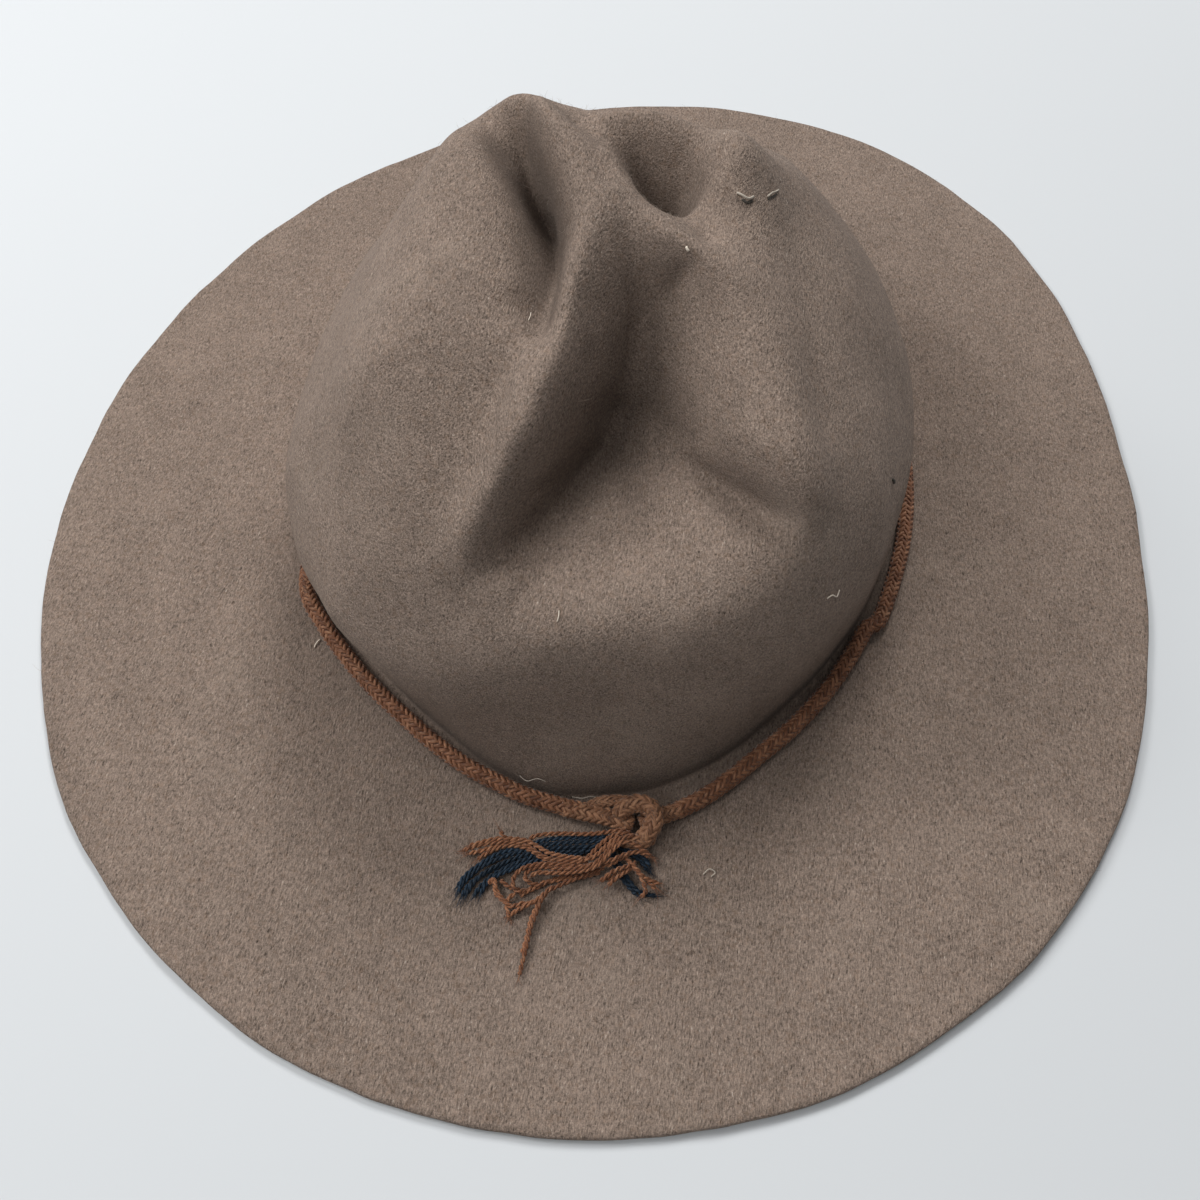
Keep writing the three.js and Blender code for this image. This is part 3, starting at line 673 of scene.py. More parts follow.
class FeltShape:
    """The rows of points of the felt, from the top of the crown out over the brim and back in."""

    def __init__(self, settings):
        self.felt = settings.felt * METRE
        self.crown = Crown(settings.head_half_width * METRE, settings.head_half_length * METRE)
        levels = self.crown.row_levels(CROWN_ROWS)
        angles = np.arange(FELT_COLUMNS) / FELT_COLUMNS * TURN
        grid = self.crown.open_point(*np.meshgrid(levels, angles, indexing="ij"))
        rows = self.crown.dented(grid)
        normals = grid_normals(rows)
        foot_share = np.linspace(0, 1, CROWN_ROWS)[:, None]
        # The lumps run out over the last eighth of the rows, above the cord.
        calm = np.minimum(1, (1 - foot_share) * 8)
        rows = rows + normals * (waves(rows, CROWN_LUMPS) * calm)[..., None]
        rows[-1, :, 2] = self.felt
        self.rows, self.normals = rows, grid_normals(rows)

        self.bearing = np.arctan2(rows[-1, :, 1], rows[-1, :, 0])
        self.foot = np.hypot(rows[-1, :, 0], rows[-1, :, 1])
        ring = np.stack((np.cos(self.bearing), np.sin(self.bearing), 0 * self.bearing), -1) * EDGE_RADIUS
        self.edge = brim_edge(self.bearing) + waves(ring, EDGE_WAVER)

    def brim_row(self, share, top, inset=0.0, drop=0.0):
        radius = self.foot + (self.edge - self.foot) * share - inset
        point = np.stack((radius * np.cos(self.bearing), radius * np.sin(self.bearing), 0 * radius), -1)
        ripple = waves(point, BRIM_RIPPLE) * min(1, max(0, share - FIRST_RIPPLE) * 2)
        low = brim_lift(share, self.bearing) + np.maximum(0, ripple)
        point[:, 2] = low + (self.felt - drop if top else drop)
        return point

    def inner_rows(self):
        """The inside of the crown, one felt thickness in, with every second row of the outside."""
        outer, normals = self.rows[:-2:2], self.normals[:-2:2]
        direction = unit(outer - CROWN_HEART)
        square = np.maximum(LEAST_SQUARENESS, (direction * normals).sum(-1, keepdims=True))
        return (outer - direction * self.felt / square)[::-1]

    def skin(self):
        """Every row from the pole on top to the pole inside, and the two poles."""
        top = [self.brim_row(i / BRIM_ROWS, True) for i in range(1, BRIM_ROWS)]
        under = [self.brim_row(1 - i / UNDER_ROWS, False) for i in range(1, UNDER_ROWS)]
        edge = [
            self.brim_row(1, True, EDGE_ROUNDING),
            self.brim_row(1, True, 0, EDGE_ROUNDING),
            self.brim_row(1, False, 0, EDGE_ROUNDING),
            self.brim_row(1, False, EDGE_ROUNDING),
        ]
        inner_foot = self.rows[-1] * (1 - self.felt / self.foot[:, None])
        inner_foot[:, 2] = 0
        rows = [*self.rows, *top, *edge, *under, inner_foot, *self.inner_rows()]
        pole = self.crown.dented(np.array([(0, 0, CROWN_TOP)], float))[0]
        return np.array(rows), pole, pole - (0, 0, self.felt)


def tree_of(mesh):
    return BVHTree.FromPolygons([v.co for v in mesh.vertices], [p.vertices for p in mesh.polygons])


def mark_painted_shade(mesh):
    """Marks how far each point of the felt is closed in by the felt round it, for its painted shade."""
    tree = tree_of(mesh)
    rays = []
    for i in range(PAINTED_SHADE_RAYS):
        height = math.sqrt((i + 0.5) / PAINTED_SHADE_RAYS)
        across = math.sqrt(1 - height ** 2)
        turn = i * GOLDEN_TURN
        rays.append(Vector((across * math.cos(turn), across * math.sin(turn), height)))
    painted_shade = []
    for vertex in mesh.vertices:
        to_normal = vertex.normal.to_track_quat("Z", "Y")
        start = vertex.co + vertex.normal * PAINTED_SHADE_START
        met = [tree.ray_cast(start, to_normal @ ray, PAINTED_SHADE_REACH)[3] for ray in rays]
        closeness = [1 - distance / PAINTED_SHADE_REACH for distance in met if distance is not None]
        painted_shade.append(sum(closeness) / PAINTED_SHADE_RAYS)
    layer = mesh.attributes.new("painted_shade", "FLOAT", "POINT")
    layer.data.foreach_set("value", painted_shade)


def shape_ball(rows, top_pole, bottom_pole):
    """A ball whose rings take the places of these rows."""
    deselect_all()
    count, columns = rows.shape[:2]
    bpy.ops.mesh.primitive_uv_sphere_add(segments=columns, ring_count=count + 1, radius=1)
    ball = bpy.context.object
    mesh = ball.data
    place = np.empty(len(mesh.vertices) * 3)
    mesh.vertices.foreach_get("co", place)
    place = place.reshape(-1, 3)
    around = np.hypot(place[:, 0], place[:, 1])
    row = np.rint(np.arctan2(around, place[:, 2]) / math.pi * (count + 1)).astype(int)
    column = np.rint(np.arctan2(place[:, 1], place[:, 0]) / TURN * columns).astype(int) % columns
    shaped = rows[np.clip(row - 1, 0, count - 1), column]
    shaped[row == 0] = top_pole
    shaped[row == count + 1] = bottom_pole
    mesh.vertices.foreach_set("co", in_part(shaped).ravel())
    mesh.update()
    bpy.ops.object.shade_smooth()
    return ball


class Tubes:
    """Many closed tubes gathered into one mesh, with a UV of sides by millimetres and a tone each."""

    def __init__(self):
        self.points, self.faces, self.uvs, self.tones = [], [], [], []
        self.count = 0

    def add(self, centres, sides, ups, profile, tone, scale=None):
        """One tube: its section's corners lie at profile's shares of sides and ups."""
        steps, corners = len(centres), len(profile)
        scale = np.ones(steps) if scale is None else scale
        shape = sides[:, None] * profile[None, :, :1] + ups[:, None] * profile[None, :, 1:]
        points = centres[:, None] + shape * scale[:, None, None]
        i = np.arange(steps - 1)[:, None] * corners + self.count
        j = np.arange(corners)[None]
        k = (j + 1) % corners
        quads = np.stack((i + j, i + k, i + corners + k, i + corners + j), -1).reshape(-1, 4)
        lengths = lengths_along(centres)
        left = np.broadcast_to(j / corners, (steps - 1, corners))
        right = left + 1 / corners
        start = np.broadcast_to(lengths[:-1, None], left.shape)
        end = np.broadcast_to(lengths[1:, None], left.shape)
        corners_uv = [(left, start), (right, start), (right, end), (left, end)]
        uv = np.stack([np.stack(pair, -1) for pair in corners_uv], 2).reshape(-1, 2)
        first = list(range(self.count + corners - 1, self.count - 1, -1))
        last = list(range(self.count + (steps - 1) * corners, self.count + steps * corners))
        self.points.append(points.reshape(-1, 3))
        self.faces += [*quads.tolist(), first, last]
        self.uvs += [uv, np.zeros((2 * corners, 2))]
        self.tones.append(np.full(steps * corners, tone))
        self.count += steps * corners

    def piece(self):
        mesh = bpy.data.meshes.new("tubes")
        mesh.from_pydata(in_part(np.concatenate(self.points)).tolist(), [], self.faces)
        layer = mesh.uv_layers.new(name="UVMap")
        layer.data.foreach_set("uv", np.concatenate(self.uvs).ravel())
        tone = mesh.attributes.new("tone", "FLOAT", "POINT")
        tone.data.foreach_set("value", np.concatenate(self.tones))
        mesh.polygons.foreach_set("use_smooth", np.ones(len(mesh.polygons), bool))
        mesh.update()
        made = bpy.data.objects.new("tubes", mesh)
        bpy.context.scene.collection.objects.link(made)
        return made


def even_path(points, step):
    """A smooth path through points, with a point at every step of its length."""
    spans = len(points) - 1
    fine = through(points, np.linspace(0, spans, FINE_STEPS * spans + 1))
    lengths = lengths_along(fine)
    count = max(3, int(round(lengths[-1] / step)) + 1)
    wanted = np.linspace(0, lengths[-1], count)
    return np.stack([np.interp(wanted, lengths, fine[:, axis]) for axis in range(3)], -1), wanted


def path_frames(path):
    """The side and up of a path, turned as little as can be from point to point."""
    along = unit(np.gradient(path, axis=0))
    up = np.zeros_like(path)
    guess = np.array((0, 0, 1.0)) if abs(along[0, 2]) < 0.9 else np.array((1.0, 0, 0))
    for i, direction in enumerate(along):
        guess = guess - direction * (guess @ direction)
        guess = guess / np.linalg.norm(guess)
        up[i] = guess
    return np.cross(along, up), up


def round_profile(radius, corners):
    turn = np.arange(corners) / corners * TURN
    return np.stack((np.cos(turn), np.sin(turn)), -1) * radius


def ride_round(tubes, path, offsets, profile, tone, scale=None):
    """A tube at offsets from a path, with the profile's second axis pointing away from it."""
    centres = path + offsets
    along = unit(np.gradient(centres, axis=0))
    out = offsets - along * (offsets * along).sum(-1, keepdims=True)
    out = unit(out)
    tubes.add(centres, np.cross(along, out), out, profile, tone, scale)


# The braid: how many strands it has each way round and the length of one turn. Half a strand's
# thickness is a share of the braid's radius, its width a share of the room it has, its rise where
# it passes over others a share of half its thickness, and the core a share of what is inside.
BRAID_STRANDS = 8
BRAID_PITCH = 14.5
BRAID_STEP = 0.8
STRAND_HALF_THICK = 0.15
STRAND_WIDTH = 0.82
STRAND_RISE = 0.8
STRAND_SECTION = np.array([(-0.5, -0.25), (-0.3, 0.42), (0.3, 0.42), (0.5, -0.25), (0, -0.6)])
CORE_SHARE = 0.92


def braid(tubes, points, radius, random, flat=1.0):
    """A round braid of strands that run both ways, each over two and under two."""
    path, lengths = even_path(points, BRAID_STEP)
    side, up = path_frames(path)
    half_thick = radius * STRAND_HALF_THICK
    middle = radius - 2 * half_thick
    width = TURN * middle / BRAID_STRANDS * STRAND_WIDTH
    section = STRAND_SECTION * (width, 2 * half_thick)
    crossings = lengths / BRAID_PITCH * 2 * BRAID_STRANDS
    for way in (1, -1):
        for i in range(BRAID_STRANDS):
            angle = way * lengths / BRAID_PITCH * TURN + i / BRAID_STRANDS * TURN
            over = way * np.cos((way * crossings + 2 * i - 0.5) * math.pi / 2)
            out = middle + half_thick * STRAND_RISE * over
            offsets = side * (np.cos(angle) * out)[:, None] + up * (np.sin(angle) * out * flat)[:, None]
            ride_round(tubes, path, offsets, section, random.uniform(0.2, 0.9))
    core = round_profile(middle * CORE_SHARE, 8) * (1, flat)
    # The core fills the braid and takes the darkest tone: painted shade for the gaps between strands.
    tubes.add(path[::2], side[::2], up[::2], core, 0.0)


# The yarns: how many plies they have, and as shares of their thickness, the pitch of the twist
# and each ply's radius and distance from the middle
PLIES = 2
YARN_STEP = 0.4
YARN_PITCH = 2.6
PLY_RADIUS = 0.29
PLY_OFFSET = 0.25


def twisted(tubes, points, thick, random, turn):
    """A yarn of plies twisted together, thinner at its ends."""
    path, lengths = even_path(points, YARN_STEP)
    side, up = path_frames(path)
    ends = np.minimum(1, np.minimum(lengths, lengths[-1] - lengths) / 0.5 + 0.55)
    tone = random.uniform(0.25, 0.85)
    for i in range(PLIES):
        angle = lengths / (thick * YARN_PITCH) * TURN + i / PLIES * TURN + turn
        offsets = (side * np.cos(angle)[:, None] + up * np.sin(angle)[:, None]) * (thick * PLY_OFFSET)
        own = min(1.0, max(0.0, tone + random.uniform(-0.1, 0.1)))
        ride_round(tubes, path, offsets, round_profile(thick * PLY_RADIUS, 6), own, ends)
    return path


# Loose fibres, and how long, wayward and thick those of a frayed end are. None lies lower than
# the floor that the top of the brim gives them.
HAIR_STEP = 0.6
FRAY_LENGTH = 3.2
FRAY_SPREAD = 0.35
FRAY_THICK = 0.16
FRAY_FLOOR = 2.15


def hair(tubes, points, thick, tone):
    """A loose fibre that thins to its tip."""
    path, lengths = even_path(points, HAIR_STEP)
    side, up = path_frames(path)
    taper = 1 - 0.7 * lengths / lengths[-1]
    tubes.add(path, side, up, round_profile(thick / 2, 3), tone, taper)


def frayed_end(tubes, path, random, count):
    """The loose fibres of a yarn's cut end."""
    end = path[-1]
    along = unit(end - path[-4])
    for _ in range(count):
        stray = random.normal(0, FRAY_SPREAD, 3)
        stray[2] = stray[2] * 0.6
        reach = FRAY_LENGTH * random.uniform(0.5, 1.2)
        start = end - along * random.uniform(0.2, 1.2) + random.normal(0, 0.2, 3)
        bend = start + (along + stray * 0.4) * reach * 0.5
        tip = start + (along + stray) * reach
        tip[2], bend[2] = max(tip[2], FRAY_FLOOR), max(bend[2], FRAY_FLOOR)
        hair(tubes, [start, bend, tip], FRAY_THICK, random.uniform(0.3, 1))


class Yarn(NamedTuple):
    """A yarn's route, as pixels of the photograph's frame and heights in millimetres."""

    name: str
    route: list
    frayed: int = 0


# Yarns of the navy tassel: they leave the knot, lie on the brim, and pass under the brown ones.
NAVY_YARNS = [
    Yarn("upper band back", [
        (618, 836, 5.6), (600, 837, 5.4), (570, 838, 5.2), (545, 840, 5), (524, 847, 4.4),
        (500, 853, 4), (482, 863, 3.8), (466, 875, 3.4), (458, 886, 3),
    ], 9),
    Yarn("upper band middle", [
        (616, 840, 5.4), (600, 841, 5.5), (570, 842.5, 5.3), (543, 845, 5), (522, 851, 4.6),
        (500, 858, 4.2), (480, 868, 3.6), (464, 882, 3), (458, 892, 2.8),
    ], 9),
    Yarn("upper band front", [
        (615, 844, 5.2), (598, 846, 5.3), (572, 847, 5.2), (546, 849, 5), (524, 855, 4.6),
        (503, 863, 4.2), (484, 873, 3.6), (472, 885, 3), (467, 894, 2.8),
    ], 9),
    Yarn("upper band low", [
        (612, 846, 4.4), (590, 850, 4.6), (566, 851, 4.6), (544, 853, 4.6), (526, 859, 4.4),
        (508, 867, 4), (492, 876, 3.4), (480, 887, 2.9), (474, 896, 2.7),
    ], 9),
    Yarn("lower band", [
        (606, 846, 3.8), (580, 853, 4), (556, 856, 4.2), (530, 862, 4.2), (512, 869, 4),
        (496, 876, 3.6), (486, 884, 3), (481, 893, 2.8),
    ], 9),
    Yarn("low left", [
        (560, 856, 3.4), (532, 858, 3.6), (508, 864, 3.4), (488, 872, 3.2), (470, 884, 2.9),
        (462, 896, 2.7),
    ], 8),
    Yarn("right upper end", [(618, 842, 4.6), (632, 850, 4.6), (644, 858, 4), (650, 866, 3.2)], 9),
    Yarn("right upper end two", [(614, 844, 4.2), (630, 854, 4.2), (640, 860, 3.8), (647, 870, 3)], 9),
    Yarn("right lower end", [
        (612, 850, 4), (622, 868, 4), (630, 882, 3.4), (640, 892, 2.9), (655, 896, 2.7),
    ], 7),
    Yarn("right lower end two", [
        (610, 852, 3.8), (618, 872, 3.8), (628, 886, 3.2), (636, 894, 2.8),
    ], 9),
]

# Yarns of the brown tassel, from the knot outwards
BROWN_YARNS = [
    Yarn("top line", [
        (630, 832, 6), (618, 830.5, 6.6), (604, 832.5, 6.4), (588, 834, 6.3), (570, 833.6, 6.2),
        (556, 833.6, 6), (544, 834.4, 5.8), (534, 836.4, 5.6), (529, 840, 5.3),
    ], 5),
    Yarn("knot cover left", [
        (634, 836, 6.6), (624, 833, 7.4), (612, 836, 7.4), (602, 843, 7), (594, 851, 6.6),
        (586, 859, 6.4), (578, 862, 6.2), (564, 860.5, 6), (549, 858.4, 5.9), (539, 854, 5.8),
        (531, 848, 5.6), (522, 843.6, 5.4), (508, 841.6, 5.2), (492, 843, 4.9), (476, 846, 4.4),
        (464, 850.5, 3.8),
    ], 10),
    Yarn("left bundle upper", [
        (628, 838, 6.6), (617, 838, 7.6), (607, 845, 7.4), (599, 853, 7), (590, 858.6, 6.6),
        (578, 858, 6.4), (562, 856, 6.2), (547, 852, 6.2), (538, 846.6, 6), (526, 840.6, 5.8),
        (512, 838.8, 5.6), (498, 838.6, 5.4), (484, 841.6, 5), (470, 845.6, 4.4),
    ], 10),
    Yarn("left bundle lower", [
        (588, 862.6, 5.4), (570, 862.8, 5.4), (552, 861, 5.4), (541, 857.4, 5.4), (532, 851, 5.2),
        (520, 846.4, 5), (504, 846, 4.6), (490, 851.6, 4.2), (478, 859, 3.6),
    ], 10),
    Yarn("left bundle short", [
        (530, 844, 5), (514, 842.6, 4.7), (498, 845.6, 4.4), (484, 850, 4), (469, 853.6, 3.6),
    ], 10),
    Yarn("upward stray", [(520, 841, 5.4), (509, 839, 5.6), (503, 836, 6), (501, 831, 6.6)], 6),
    Yarn("thick run one", [
        (640, 838, 6.2), (628, 836.6, 7.6), (617, 841, 8), (609, 849, 7.8), (601, 858, 7.4),
        (592, 864.6, 6.8), (578, 868, 6.2), (560, 868.6, 5.6), (544, 867, 5.2), (533, 868.6, 4.9),
        (526, 873.4, 4.6), (525.6, 879, 4.2), (532, 883.6, 3.8), (542, 884.6, 3.4),
    ]),
    Yarn("thick run two", [
        (634, 841, 6.4), (622, 842.6, 7.8), (613, 849.6, 7.8), (605, 858, 7.4), (597, 865.6, 6.8),
        (586, 870, 6), (568, 872.6, 5.4), (550, 873, 5), (538, 872.6, 4.8), (531, 876, 4.6),
    ], 4),
    Yarn("outer loop", [
        (600, 862, 6), (588, 866, 6.2), (572, 865.6, 6), (554, 864, 5.8), (540, 864, 5.6),
        (527, 866.6, 5.4), (518, 872, 5), (513.4, 879, 4.6), (513.6, 887, 4.2), (519, 892, 3.8),
        (524, 890, 3.6),
    ], 5),
    Yarn("right arc", [
        (606, 848, 6.8), (614, 843.6, 7.8), (624, 841.6, 7.8), (634, 844.4, 7), (643, 849.6, 6),
        (651, 856, 5),
    ], 8),
    Yarn("right lower arc", [
        (596, 864, 6), (604, 862, 6.6), (613, 859.6, 6.8), (622, 855.6, 6.8), (632, 852.6, 6.4),
        (641, 852.4, 5.8), (649, 856.6, 4.8),
    ], 8),
    Yarn("right middle arc", [(600, 866, 5), (610, 864.6, 5.8), (620, 858.6, 6.2), (628, 855, 6.2)], 4),
    Yarn("near tuft upper", [
        (636, 862, 5), (628, 866, 6), (619, 868.8, 6.4), (610, 873.6, 6), (600.4, 881.6, 5),
    ], 4),
    Yarn("near tuft lower", [
        (634, 866, 5), (626, 871.4, 5.6), (617, 877.4, 5.4), (608, 885.4, 4.4),
    ], 4),
    Yarn("near tuft middle", [(630, 870, 4.6), (621, 872.6, 5), (612, 877, 4.8), (605, 879.6, 4.4)], 3),
    Yarn("far tuft stem", [
        (622, 856, 5), (630, 862.4, 5.8), (637, 869.6, 6), (643, 876.4, 5.6), (651, 880.6, 5),
        (660, 884, 4.4),
    ], 7),
    Yarn("far tuft lower", [(632, 866, 5), (640, 874, 5.4), (647, 880.6, 4.8), (655.6, 889, 4.2)], 7),
    Yarn("far tuft hook", [
        (634, 867, 5.4), (640, 875, 5.8), (644, 884, 5.2), (645.6, 892, 4.4), (641, 897, 3.6),
    ], 4),
    Yarn("long thread", [
        (604, 868, 4.4), (588, 874, 4.2), (570, 881, 4), (556, 887, 4), (546, 892, 4.2),
        (540.6, 901, 4.4), (535.6, 914, 4.2), (531, 926, 4), (528, 938, 3.8), (524.4, 954, 3.6),
        (519.4, 975, 3.2),
    ], 4),
    Yarn("long thread twin", [
        (552, 886, 3.6), (544.6, 895, 3.8), (538, 905, 4), (532, 917, 3.8), (528.4, 930, 3.6),
        (526, 941, 3.6), (522, 953, 3.4),
    ]),
    Yarn("lower left run", [
        (545, 893, 4.2), (537, 899.6, 4.2), (528, 904.6, 4), (518, 909.6, 3.6),
        (510.6, 915.6, 3.1),
    ], 9),
    Yarn("lower left return", [
        (541, 898, 3.8), (531, 903, 4), (521, 903.6, 4), (511, 906.4, 3.8), (503, 899.6, 3.8),
        (498, 892.6, 3.6), (494, 884, 3.4), (491, 878.6, 3.2),
    ]),
    Yarn("left cut loop", [
        (489, 884, 3.6), (493, 878.6, 3.9), (495.6, 885, 4), (495, 892, 3.6), (500, 898, 3.4),
        (508, 903, 3.2),
    ], 8),
    Yarn("left low end", [(516, 893, 3.4), (508, 899, 3.6), (507, 907.6, 3.4), (509.4, 918, 2.9)], 9),
    Yarn("dark inner run", [
        (600, 872, 3.4), (582, 877, 3.2), (562, 879.4, 3), (540, 884, 3), (520, 896, 3),
    ]),
    Yarn("dark inner bow", [
        (596, 868, 3.6), (576, 874, 3.2), (552, 880, 3), (530, 890, 2.9), (512, 888, 3),
        (500, 880, 3),
    ]),
]

class KnotTurn(NamedTuple):
    """One turn of the knot: its radius, how flat it is pressed and the line that it follows."""

    name: str
    radius: float
    flat: float
    line: list


KNOT_TURNS = [
    KnotTurn("left arm", 2.75, 0.8, [
        (5, -109, 4.6), (9, -109.3, 4.8), (15, -109.8, 5), (19, -110.4, 5), (22, -110.6, 4.4),
    ]),
    KnotTurn("right arm", 2.45, 0.9, [(33.4, -104.9, 4.7), (28.4, -107.8, 5), (24, -110.2, 4.6)]),
    KnotTurn("back turn", 1.7, 0.9, [
        (10.6, -108, 4.6), (14, -106.6, 6.4), (18.6, -105.9, 7), (23, -106.3, 7),
        (26.4, -108, 5.6),
    ]),
    KnotTurn("front turn", 2.6, 0.85, [
        (18.6, -109.6, 6), (20, -107.6, 7.6), (23.6, -106.4, 8.4), (26.9, -107.9, 8.4),
        (27.4, -110.8, 7.8), (26.2, -113.4, 6), (24.4, -115, 4.4),
    ]),
    KnotTurn("lower wrap", 2.2, 0.9, [
        (18.6, -114.6, 3.8), (21.6, -115.4, 5.4), (25, -115.2, 5.4), (27, -113.2, 4),
    ]),
]


class Lint(NamedTuple):
    """A bit of lint or torn felt: its route as pixels and a lift off the felt in millimetres."""

    name: str
    thick: float
    tone: float
    route: list


LINT_STEP = 0.3
LINT = [
    Lint("white thread", 0.4, 1, [(314.5, 648, 0.3), (317, 644, 0.6), (320.5, 640, 0.4)]),
    Lint("curl", 0.3, 0.8, [(826, 598, 0.3), (830, 594, 0.7), (834, 595, 0.8), (838, 589, 0.4)]),
    Lint("front thread", 0.25, 0.9, [(557, 622, 0.2), (558.5, 617, 0.5), (559, 611, 0.3)]),
    Lint("white speck", 0.6, 1, [(686.5, 247, 0.2), (687.5, 249, 0.4), (689, 251, 0.2)]),
    Lint("cheek hair", 0.2, 0.9, [(528, 321, 0.2), (529.5, 317, 0.4), (530.5, 313, 0.2)]),
    Lint("lost curl", 0.3, 0.7, [(703, 875, 0.3), (709, 870, 0.7), (715, 873, 0.5), (711, 877, 0.3)]),
    Lint("first nip flap", 0.6, 0.5, [
        (737, 193, 0.2), (741, 196, 0.8), (747, 200, 0.9), (753, 197, 0.3),
    ]),
    # A dark line under the lifted flap: painted shade of the gap beneath it.
    Lint("first nip painted shade", 0.7, 0.0, [(742, 199.5, 0.1), (747, 203, 0.2), (752, 201, 0.1)]),
    Lint("second nip flap", 0.45, 0.5, [
        (767, 197, 0.2), (770, 194, 0.6), (774, 192.5, 0.6), (778, 190, 0.2),
    ]),
    # A dark line under the lifted flap: painted shade of the gap beneath it.
    Lint("second nip painted shade", 0.5, 0.0, [(768, 199, 0.1), (772, 197, 0.15), (776, 194.5, 0.1)]),
    Lint("dark speck", 0.7, 0.0, [(892, 479, 0.1), (893, 481, 0.3), (893.5, 483, 0.1)]),
    Lint("pale hair", 0.18, 0.8, [(520, 775, 0.2), (528, 779, 0.6), (538, 777, 0.5), (546, 781, 0.2)]),
    Lint("second pale hair", 0.18, 0.8, [
        (572, 796, 0.2), (582, 799, 0.5), (592, 797, 0.4), (600, 800, 0.2),
    ]),
]

# The nap: how many fibres stand out of the felt, how thick and long they are, how deep their
# roots are, how they curl, and how far their middles and tips stand off. The felt under this
# height is the brim.
NAP_FIBRES = 3400
NAP_THICK = 0.07
NAP_REACH = (0.8, 2.6)
NAP_ROOT = 0.2
NAP_CURL = 0.3
NAP_BEND_LIFT = (0.25, 0.6)
NAP_TIP_LIFT = (0.3, 0.9)
BRIM_TOP = 7


def cord_route(settings):
    """The cord's centreline as it lies on the brim."""
    radius = settings.cord * METRE / 2
    share = np.linspace(0, 1, CORD_BACK_POINTS)
    turn = np.radians(CORD_BACK_START + (CORD_BACK_END - CORD_BACK_START) * share)
    clear = radius + CORD_BACK_CLEARANCE
    behind = np.stack((
        (settings.head_half_width * METRE + clear) * np.cos(turn),
        (settings.head_half_length * METRE + clear) * np.sin(turn),
    ), -1)
    flat = np.concatenate([CORD_LEFT, behind, CORD_RIGHT])
    height = settings.felt * METRE + radius + CORD_OVER_BRIM
    return np.column_stack([flat, np.full(len(flat), height)])


def settings_of(context):
    return context.scene.scout_hat


class SCOUTHAT_OT_stage(bpy.types.Operator):
    """Makes the floor, the lights and the camera"""

    bl_idname = "scout_hat.stage"
    bl_label = "Stage"

    def execute(self, context):
        deselect_all()
        bpy.ops.mesh.primitive_plane_add(size=FLOOR_SIZE)
        floor = context.object
        floor.name = "floor"
        floor.data.materials.append(floor_finish(settings_of(context)))
        self.light_room(context)
        self.set_camera(context)
        return {"FINISHED"}

    @staticmethod
    def light_room(context):
        world = bpy.data.worlds.new("room")
        context.scene.world = world
        world.use_nodes = True
        air = world.node_tree.nodes["Background"]
        air.inputs["Color"].default_value = ROOM_COLOUR
        air.inputs["Strength"].default_value = ROOM_STRENGTH
        for lamp in LAMPS:
            light = bpy.data.lights.new(lamp.name, "AREA")
            light.size = lamp.width
            light.energy = lamp.watts
            made = bpy.data.objects.new(lamp.name, light)
            context.scene.collection.objects.link(made)
            made.location = lamp.place
            aim = LAMPS_FACE - Vector(lamp.place)
            made.rotation_euler = aim.to_track_quat("-Z", "Y").to_euler()
        context.scene.view_settings.view_transform = "Standard"

    @staticmethod
    def set_camera(context):
        lens = bpy.data.cameras.new("camera")
        lens.sensor_width = SENSOR
        lens.lens = SENSOR * FOCAL_PIXELS / PICTURE
        lens.clip_start = 0.01
        camera = bpy.data.objects.new("camera", lens)
        context.scene.collection.objects.link(camera)
        right, up, aim = camera_axes()
        turn = Matrix([right.tolist(), up.tolist(), (-aim).tolist()]).transposed().to_4x4()
        camera.matrix_world = Matrix.Translation(in_part(CAMERA_PLACE).tolist()) @ turn
        context.scene.camera = camera


class SCOUTHAT_OT_felt(bpy.types.Operator):
    """Makes the felt crown and brim"""

    bl_idname = "scout_hat.felt"
    bl_label = "Crown and Brim"

    def execute(self, context):
        settings = settings_of(context)
        felt = shape_ball(*FeltShape(settings).skin())
        mark_painted_shade(felt.data)
        felt.data.materials.append(felt_finish(settings))
        dress(felt, "felt_body", "felt", "crown_and_brim")
        return {"FINISHED"}


class SCOUTHAT_OT_cord(bpy.types.Operator):
    """Makes the braided cord round the crown"""

    bl_idname = "scout_hat.cord"
    bl_label = "Hat Cord"

    def execute(self, context):
        settings = settings_of(context)
        tubes = Tubes()
        braid(tubes, cord_route(settings), settings.cord * METRE / 2, np.random.default_rng(3))
        cord = tubes.piece()
        colour = tuple(settings.cord_colour)
        finish = strand_finish("cord_strands", colour, 0.25, 4, linear(CORD_FLECKS))
        cord.data.materials.append(finish)
        dress(cord, "braided_cord", "cord", "hat_cord")
        return {"FINISHED"}


class SCOUTHAT_OT_knot(bpy.types.Operator):
    """Makes the knot in front"""

    bl_idname = "scout_hat.knot"
    bl_label = "Knot"

    def execute(self, context):
        settings = settings_of(context)
        random = np.random.default_rng(5)
        tubes = Tubes()
        for turn in KNOT_TURNS:
            braid(tubes, turn.line, turn.radius, random, turn.flat)
        knot = tubes.piece()
        paler = blend(tuple(settings.cord_colour), linear(KNOT_PALER), KNOT_PALER_SHARE)
        finish = strand_finish("knot_strands", paler, 0.25, 5, linear(CORD_FLECKS))
        knot.data.materials.append(finish)
        dress(knot, "knot_turns", "cord", "cord_knot")
        return {"FINISHED"}


def make_tassel(settings, yarns, seed, material, name, slot, node):
    """The yarns of one tassel, each twisted along its route and frayed at its end."""
    random = np.random.default_rng(seed)
    tubes = Tubes()
    for yarn in yarns:
        route = [seen_at(*spot) for spot in yarn.route]
        path = twisted(tubes, route, settings.yarn * METRE, random, random.uniform(0, TURN))
        frayed_end(tubes, path, random, yarn.frayed)
    tassel = tubes.piece()
    tassel.data.materials.append(material)
    dress(tassel, name, slot, node)


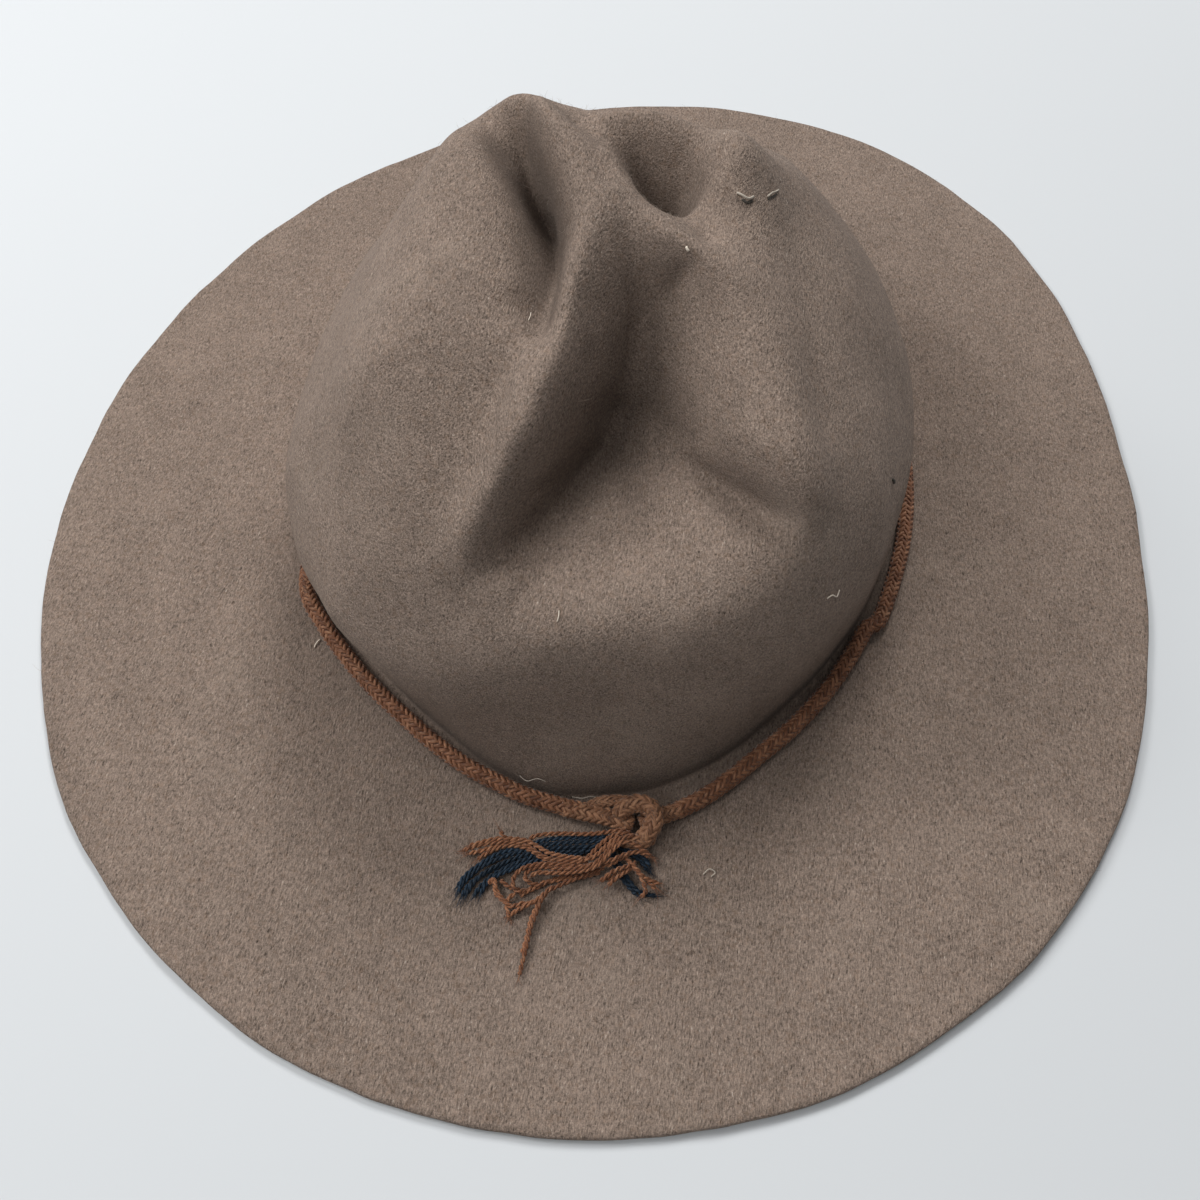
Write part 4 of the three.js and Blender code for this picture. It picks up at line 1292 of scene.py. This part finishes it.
class SCOUTHAT_OT_navy_tassel(bpy.types.Operator):
    """Makes the navy yarns of the tassel"""

    bl_idname = "scout_hat.navy_tassel"
    bl_label = "Navy Tassel"

    def execute(self, context):
        settings = settings_of(context)
        finish = strand_finish("navy_yarn", tuple(settings.navy_colour), 0.15, 6, linear("4d6f8c"))
        make_tassel(settings, NAVY_YARNS, 7, finish, "navy_yarns", "navy_yarn", "tassel_navy")
        return {"FINISHED"}


class SCOUTHAT_OT_brown_tassel(bpy.types.Operator):
    """Makes the brown yarns of the tassel"""

    bl_idname = "scout_hat.brown_tassel"
    bl_label = "Brown Tassel"

    def execute(self, context):
        settings = settings_of(context)
        finish = strand_finish("brown_yarn", tuple(settings.brown_colour), 0.3, 6, linear("efc79d"))
        make_tassel(settings, BROWN_YARNS, 11, finish, "brown_yarns", "brown_yarn", "tassel_brown")
        return {"FINISHED"}


class SCOUTHAT_OT_fibres(bpy.types.Operator):
    """Makes the loose fibres, lint and torn nips on the felt"""

    bl_idname = "scout_hat.fibres"
    bl_label = "Loose Fibres"

    def execute(self, context):
        felt = bpy.data.objects["felt_body"].data
        self.add_nap(felt)
        self.add_lint(felt)
        return {"FINISHED"}

    @staticmethod
    def add_nap(felt):
        """Short fibres that stand a little out of the outside of the crown and the top of the brim."""
        random = np.random.default_rng(17)
        place = np.array([v.co for v in felt.vertices]) * METRE + MIDDLE
        normals = np.array([v.normal for v in felt.vertices])
        outside = ((place - CROWN_HEART) * normals).sum(-1) > 0
        crown = outside & (place[:, 2] > BRIM_TOP)
        brim = (normals[:, 2] > 0.8) & (place[:, 2] < BRIM_TOP)
        tubes = Tubes()
        for i in random.choice(np.flatnonzero(crown | brim), NAP_FIBRES, False):
            root, out = place[i], normals[i]
            lie = random.normal(0, 1, 3)
            lie = unit(lie - out * (lie @ out))
            reach = random.uniform(*NAP_REACH)
            bend = root + lie * reach * 0.5 + out * random.uniform(*NAP_BEND_LIFT)
            curl = random.normal(0, NAP_CURL, 3)
            tip = root + (lie + curl) * reach + out * random.uniform(*NAP_TIP_LIFT)
            hair(tubes, [root - out * NAP_ROOT, bend, tip], NAP_THICK, random.uniform(0.2, 1))
        nap = tubes.piece()
        nap.data.materials.append(fibre_finish("nap_fibres", linear("a5978a")))
        dress(nap, "felt_nap", "felt")

    @staticmethod
    def add_lint(felt):
        """Bits of lint and torn felt, each where the camera sees it on the felt."""
        tree = tree_of(felt)
        eye = Vector(in_part(CAMERA_PLACE).tolist())
        tubes = Tubes()
        for bit in LINT:
            line = []
            for px, py, lift in bit.route:
                met, out = tree.ray_cast(eye, Vector(sight(px, py).tolist()))[:2]
                line.append(np.array(met) * METRE + MIDDLE + np.array(out) * lift)
            path = even_path(line, LINT_STEP)[0]
            side, up = path_frames(path)
            tubes.add(path, side, up, round_profile(bit.thick / 2, 5), bit.tone)
        lint = tubes.piece()
        lint.data.materials.append(fibre_finish("lint", linear("cfc3b4")))
        dress(lint, "lint", "felt")


class SCOUTHAT_PT_pieces(bpy.types.Panel):
    """Lists the settings and the pieces"""

    bl_idname = "SCOUTHAT_PT_pieces"
    bl_label = "Scout Hat"
    bl_space_type = "VIEW_3D"
    bl_region_type = "UI"
    bl_category = "Scout Hat"

    def draw(self, context):
        for name in ScoutHatSettings.__annotations__:
            self.layout.prop(context.scene.scout_hat, name)
        for operator in OPERATORS:
            self.layout.operator(operator.bl_idname)


OPERATORS = (
    SCOUTHAT_OT_stage,
    SCOUTHAT_OT_felt,
    SCOUTHAT_OT_cord,
    SCOUTHAT_OT_knot,
    SCOUTHAT_OT_navy_tassel,
    SCOUTHAT_OT_brown_tassel,
    SCOUTHAT_OT_fibres,
)
CLASSES = (ScoutHatSettings, *OPERATORS, SCOUTHAT_PT_pieces)


def register():
    for each in CLASSES:
        bpy.utils.register_class(each)
    bpy.types.Scene.scout_hat = bpy.props.PointerProperty(type=ScoutHatSettings)


def unregister():
    del bpy.types.Scene.scout_hat
    for each in reversed(CLASSES):
        bpy.utils.unregister_class(each)


def main():
    register()
    for operator in OPERATORS:
        getattr(bpy.ops.scout_hat, operator.bl_idname.split(".")[1])()


if __name__ == "__main__":
    main()
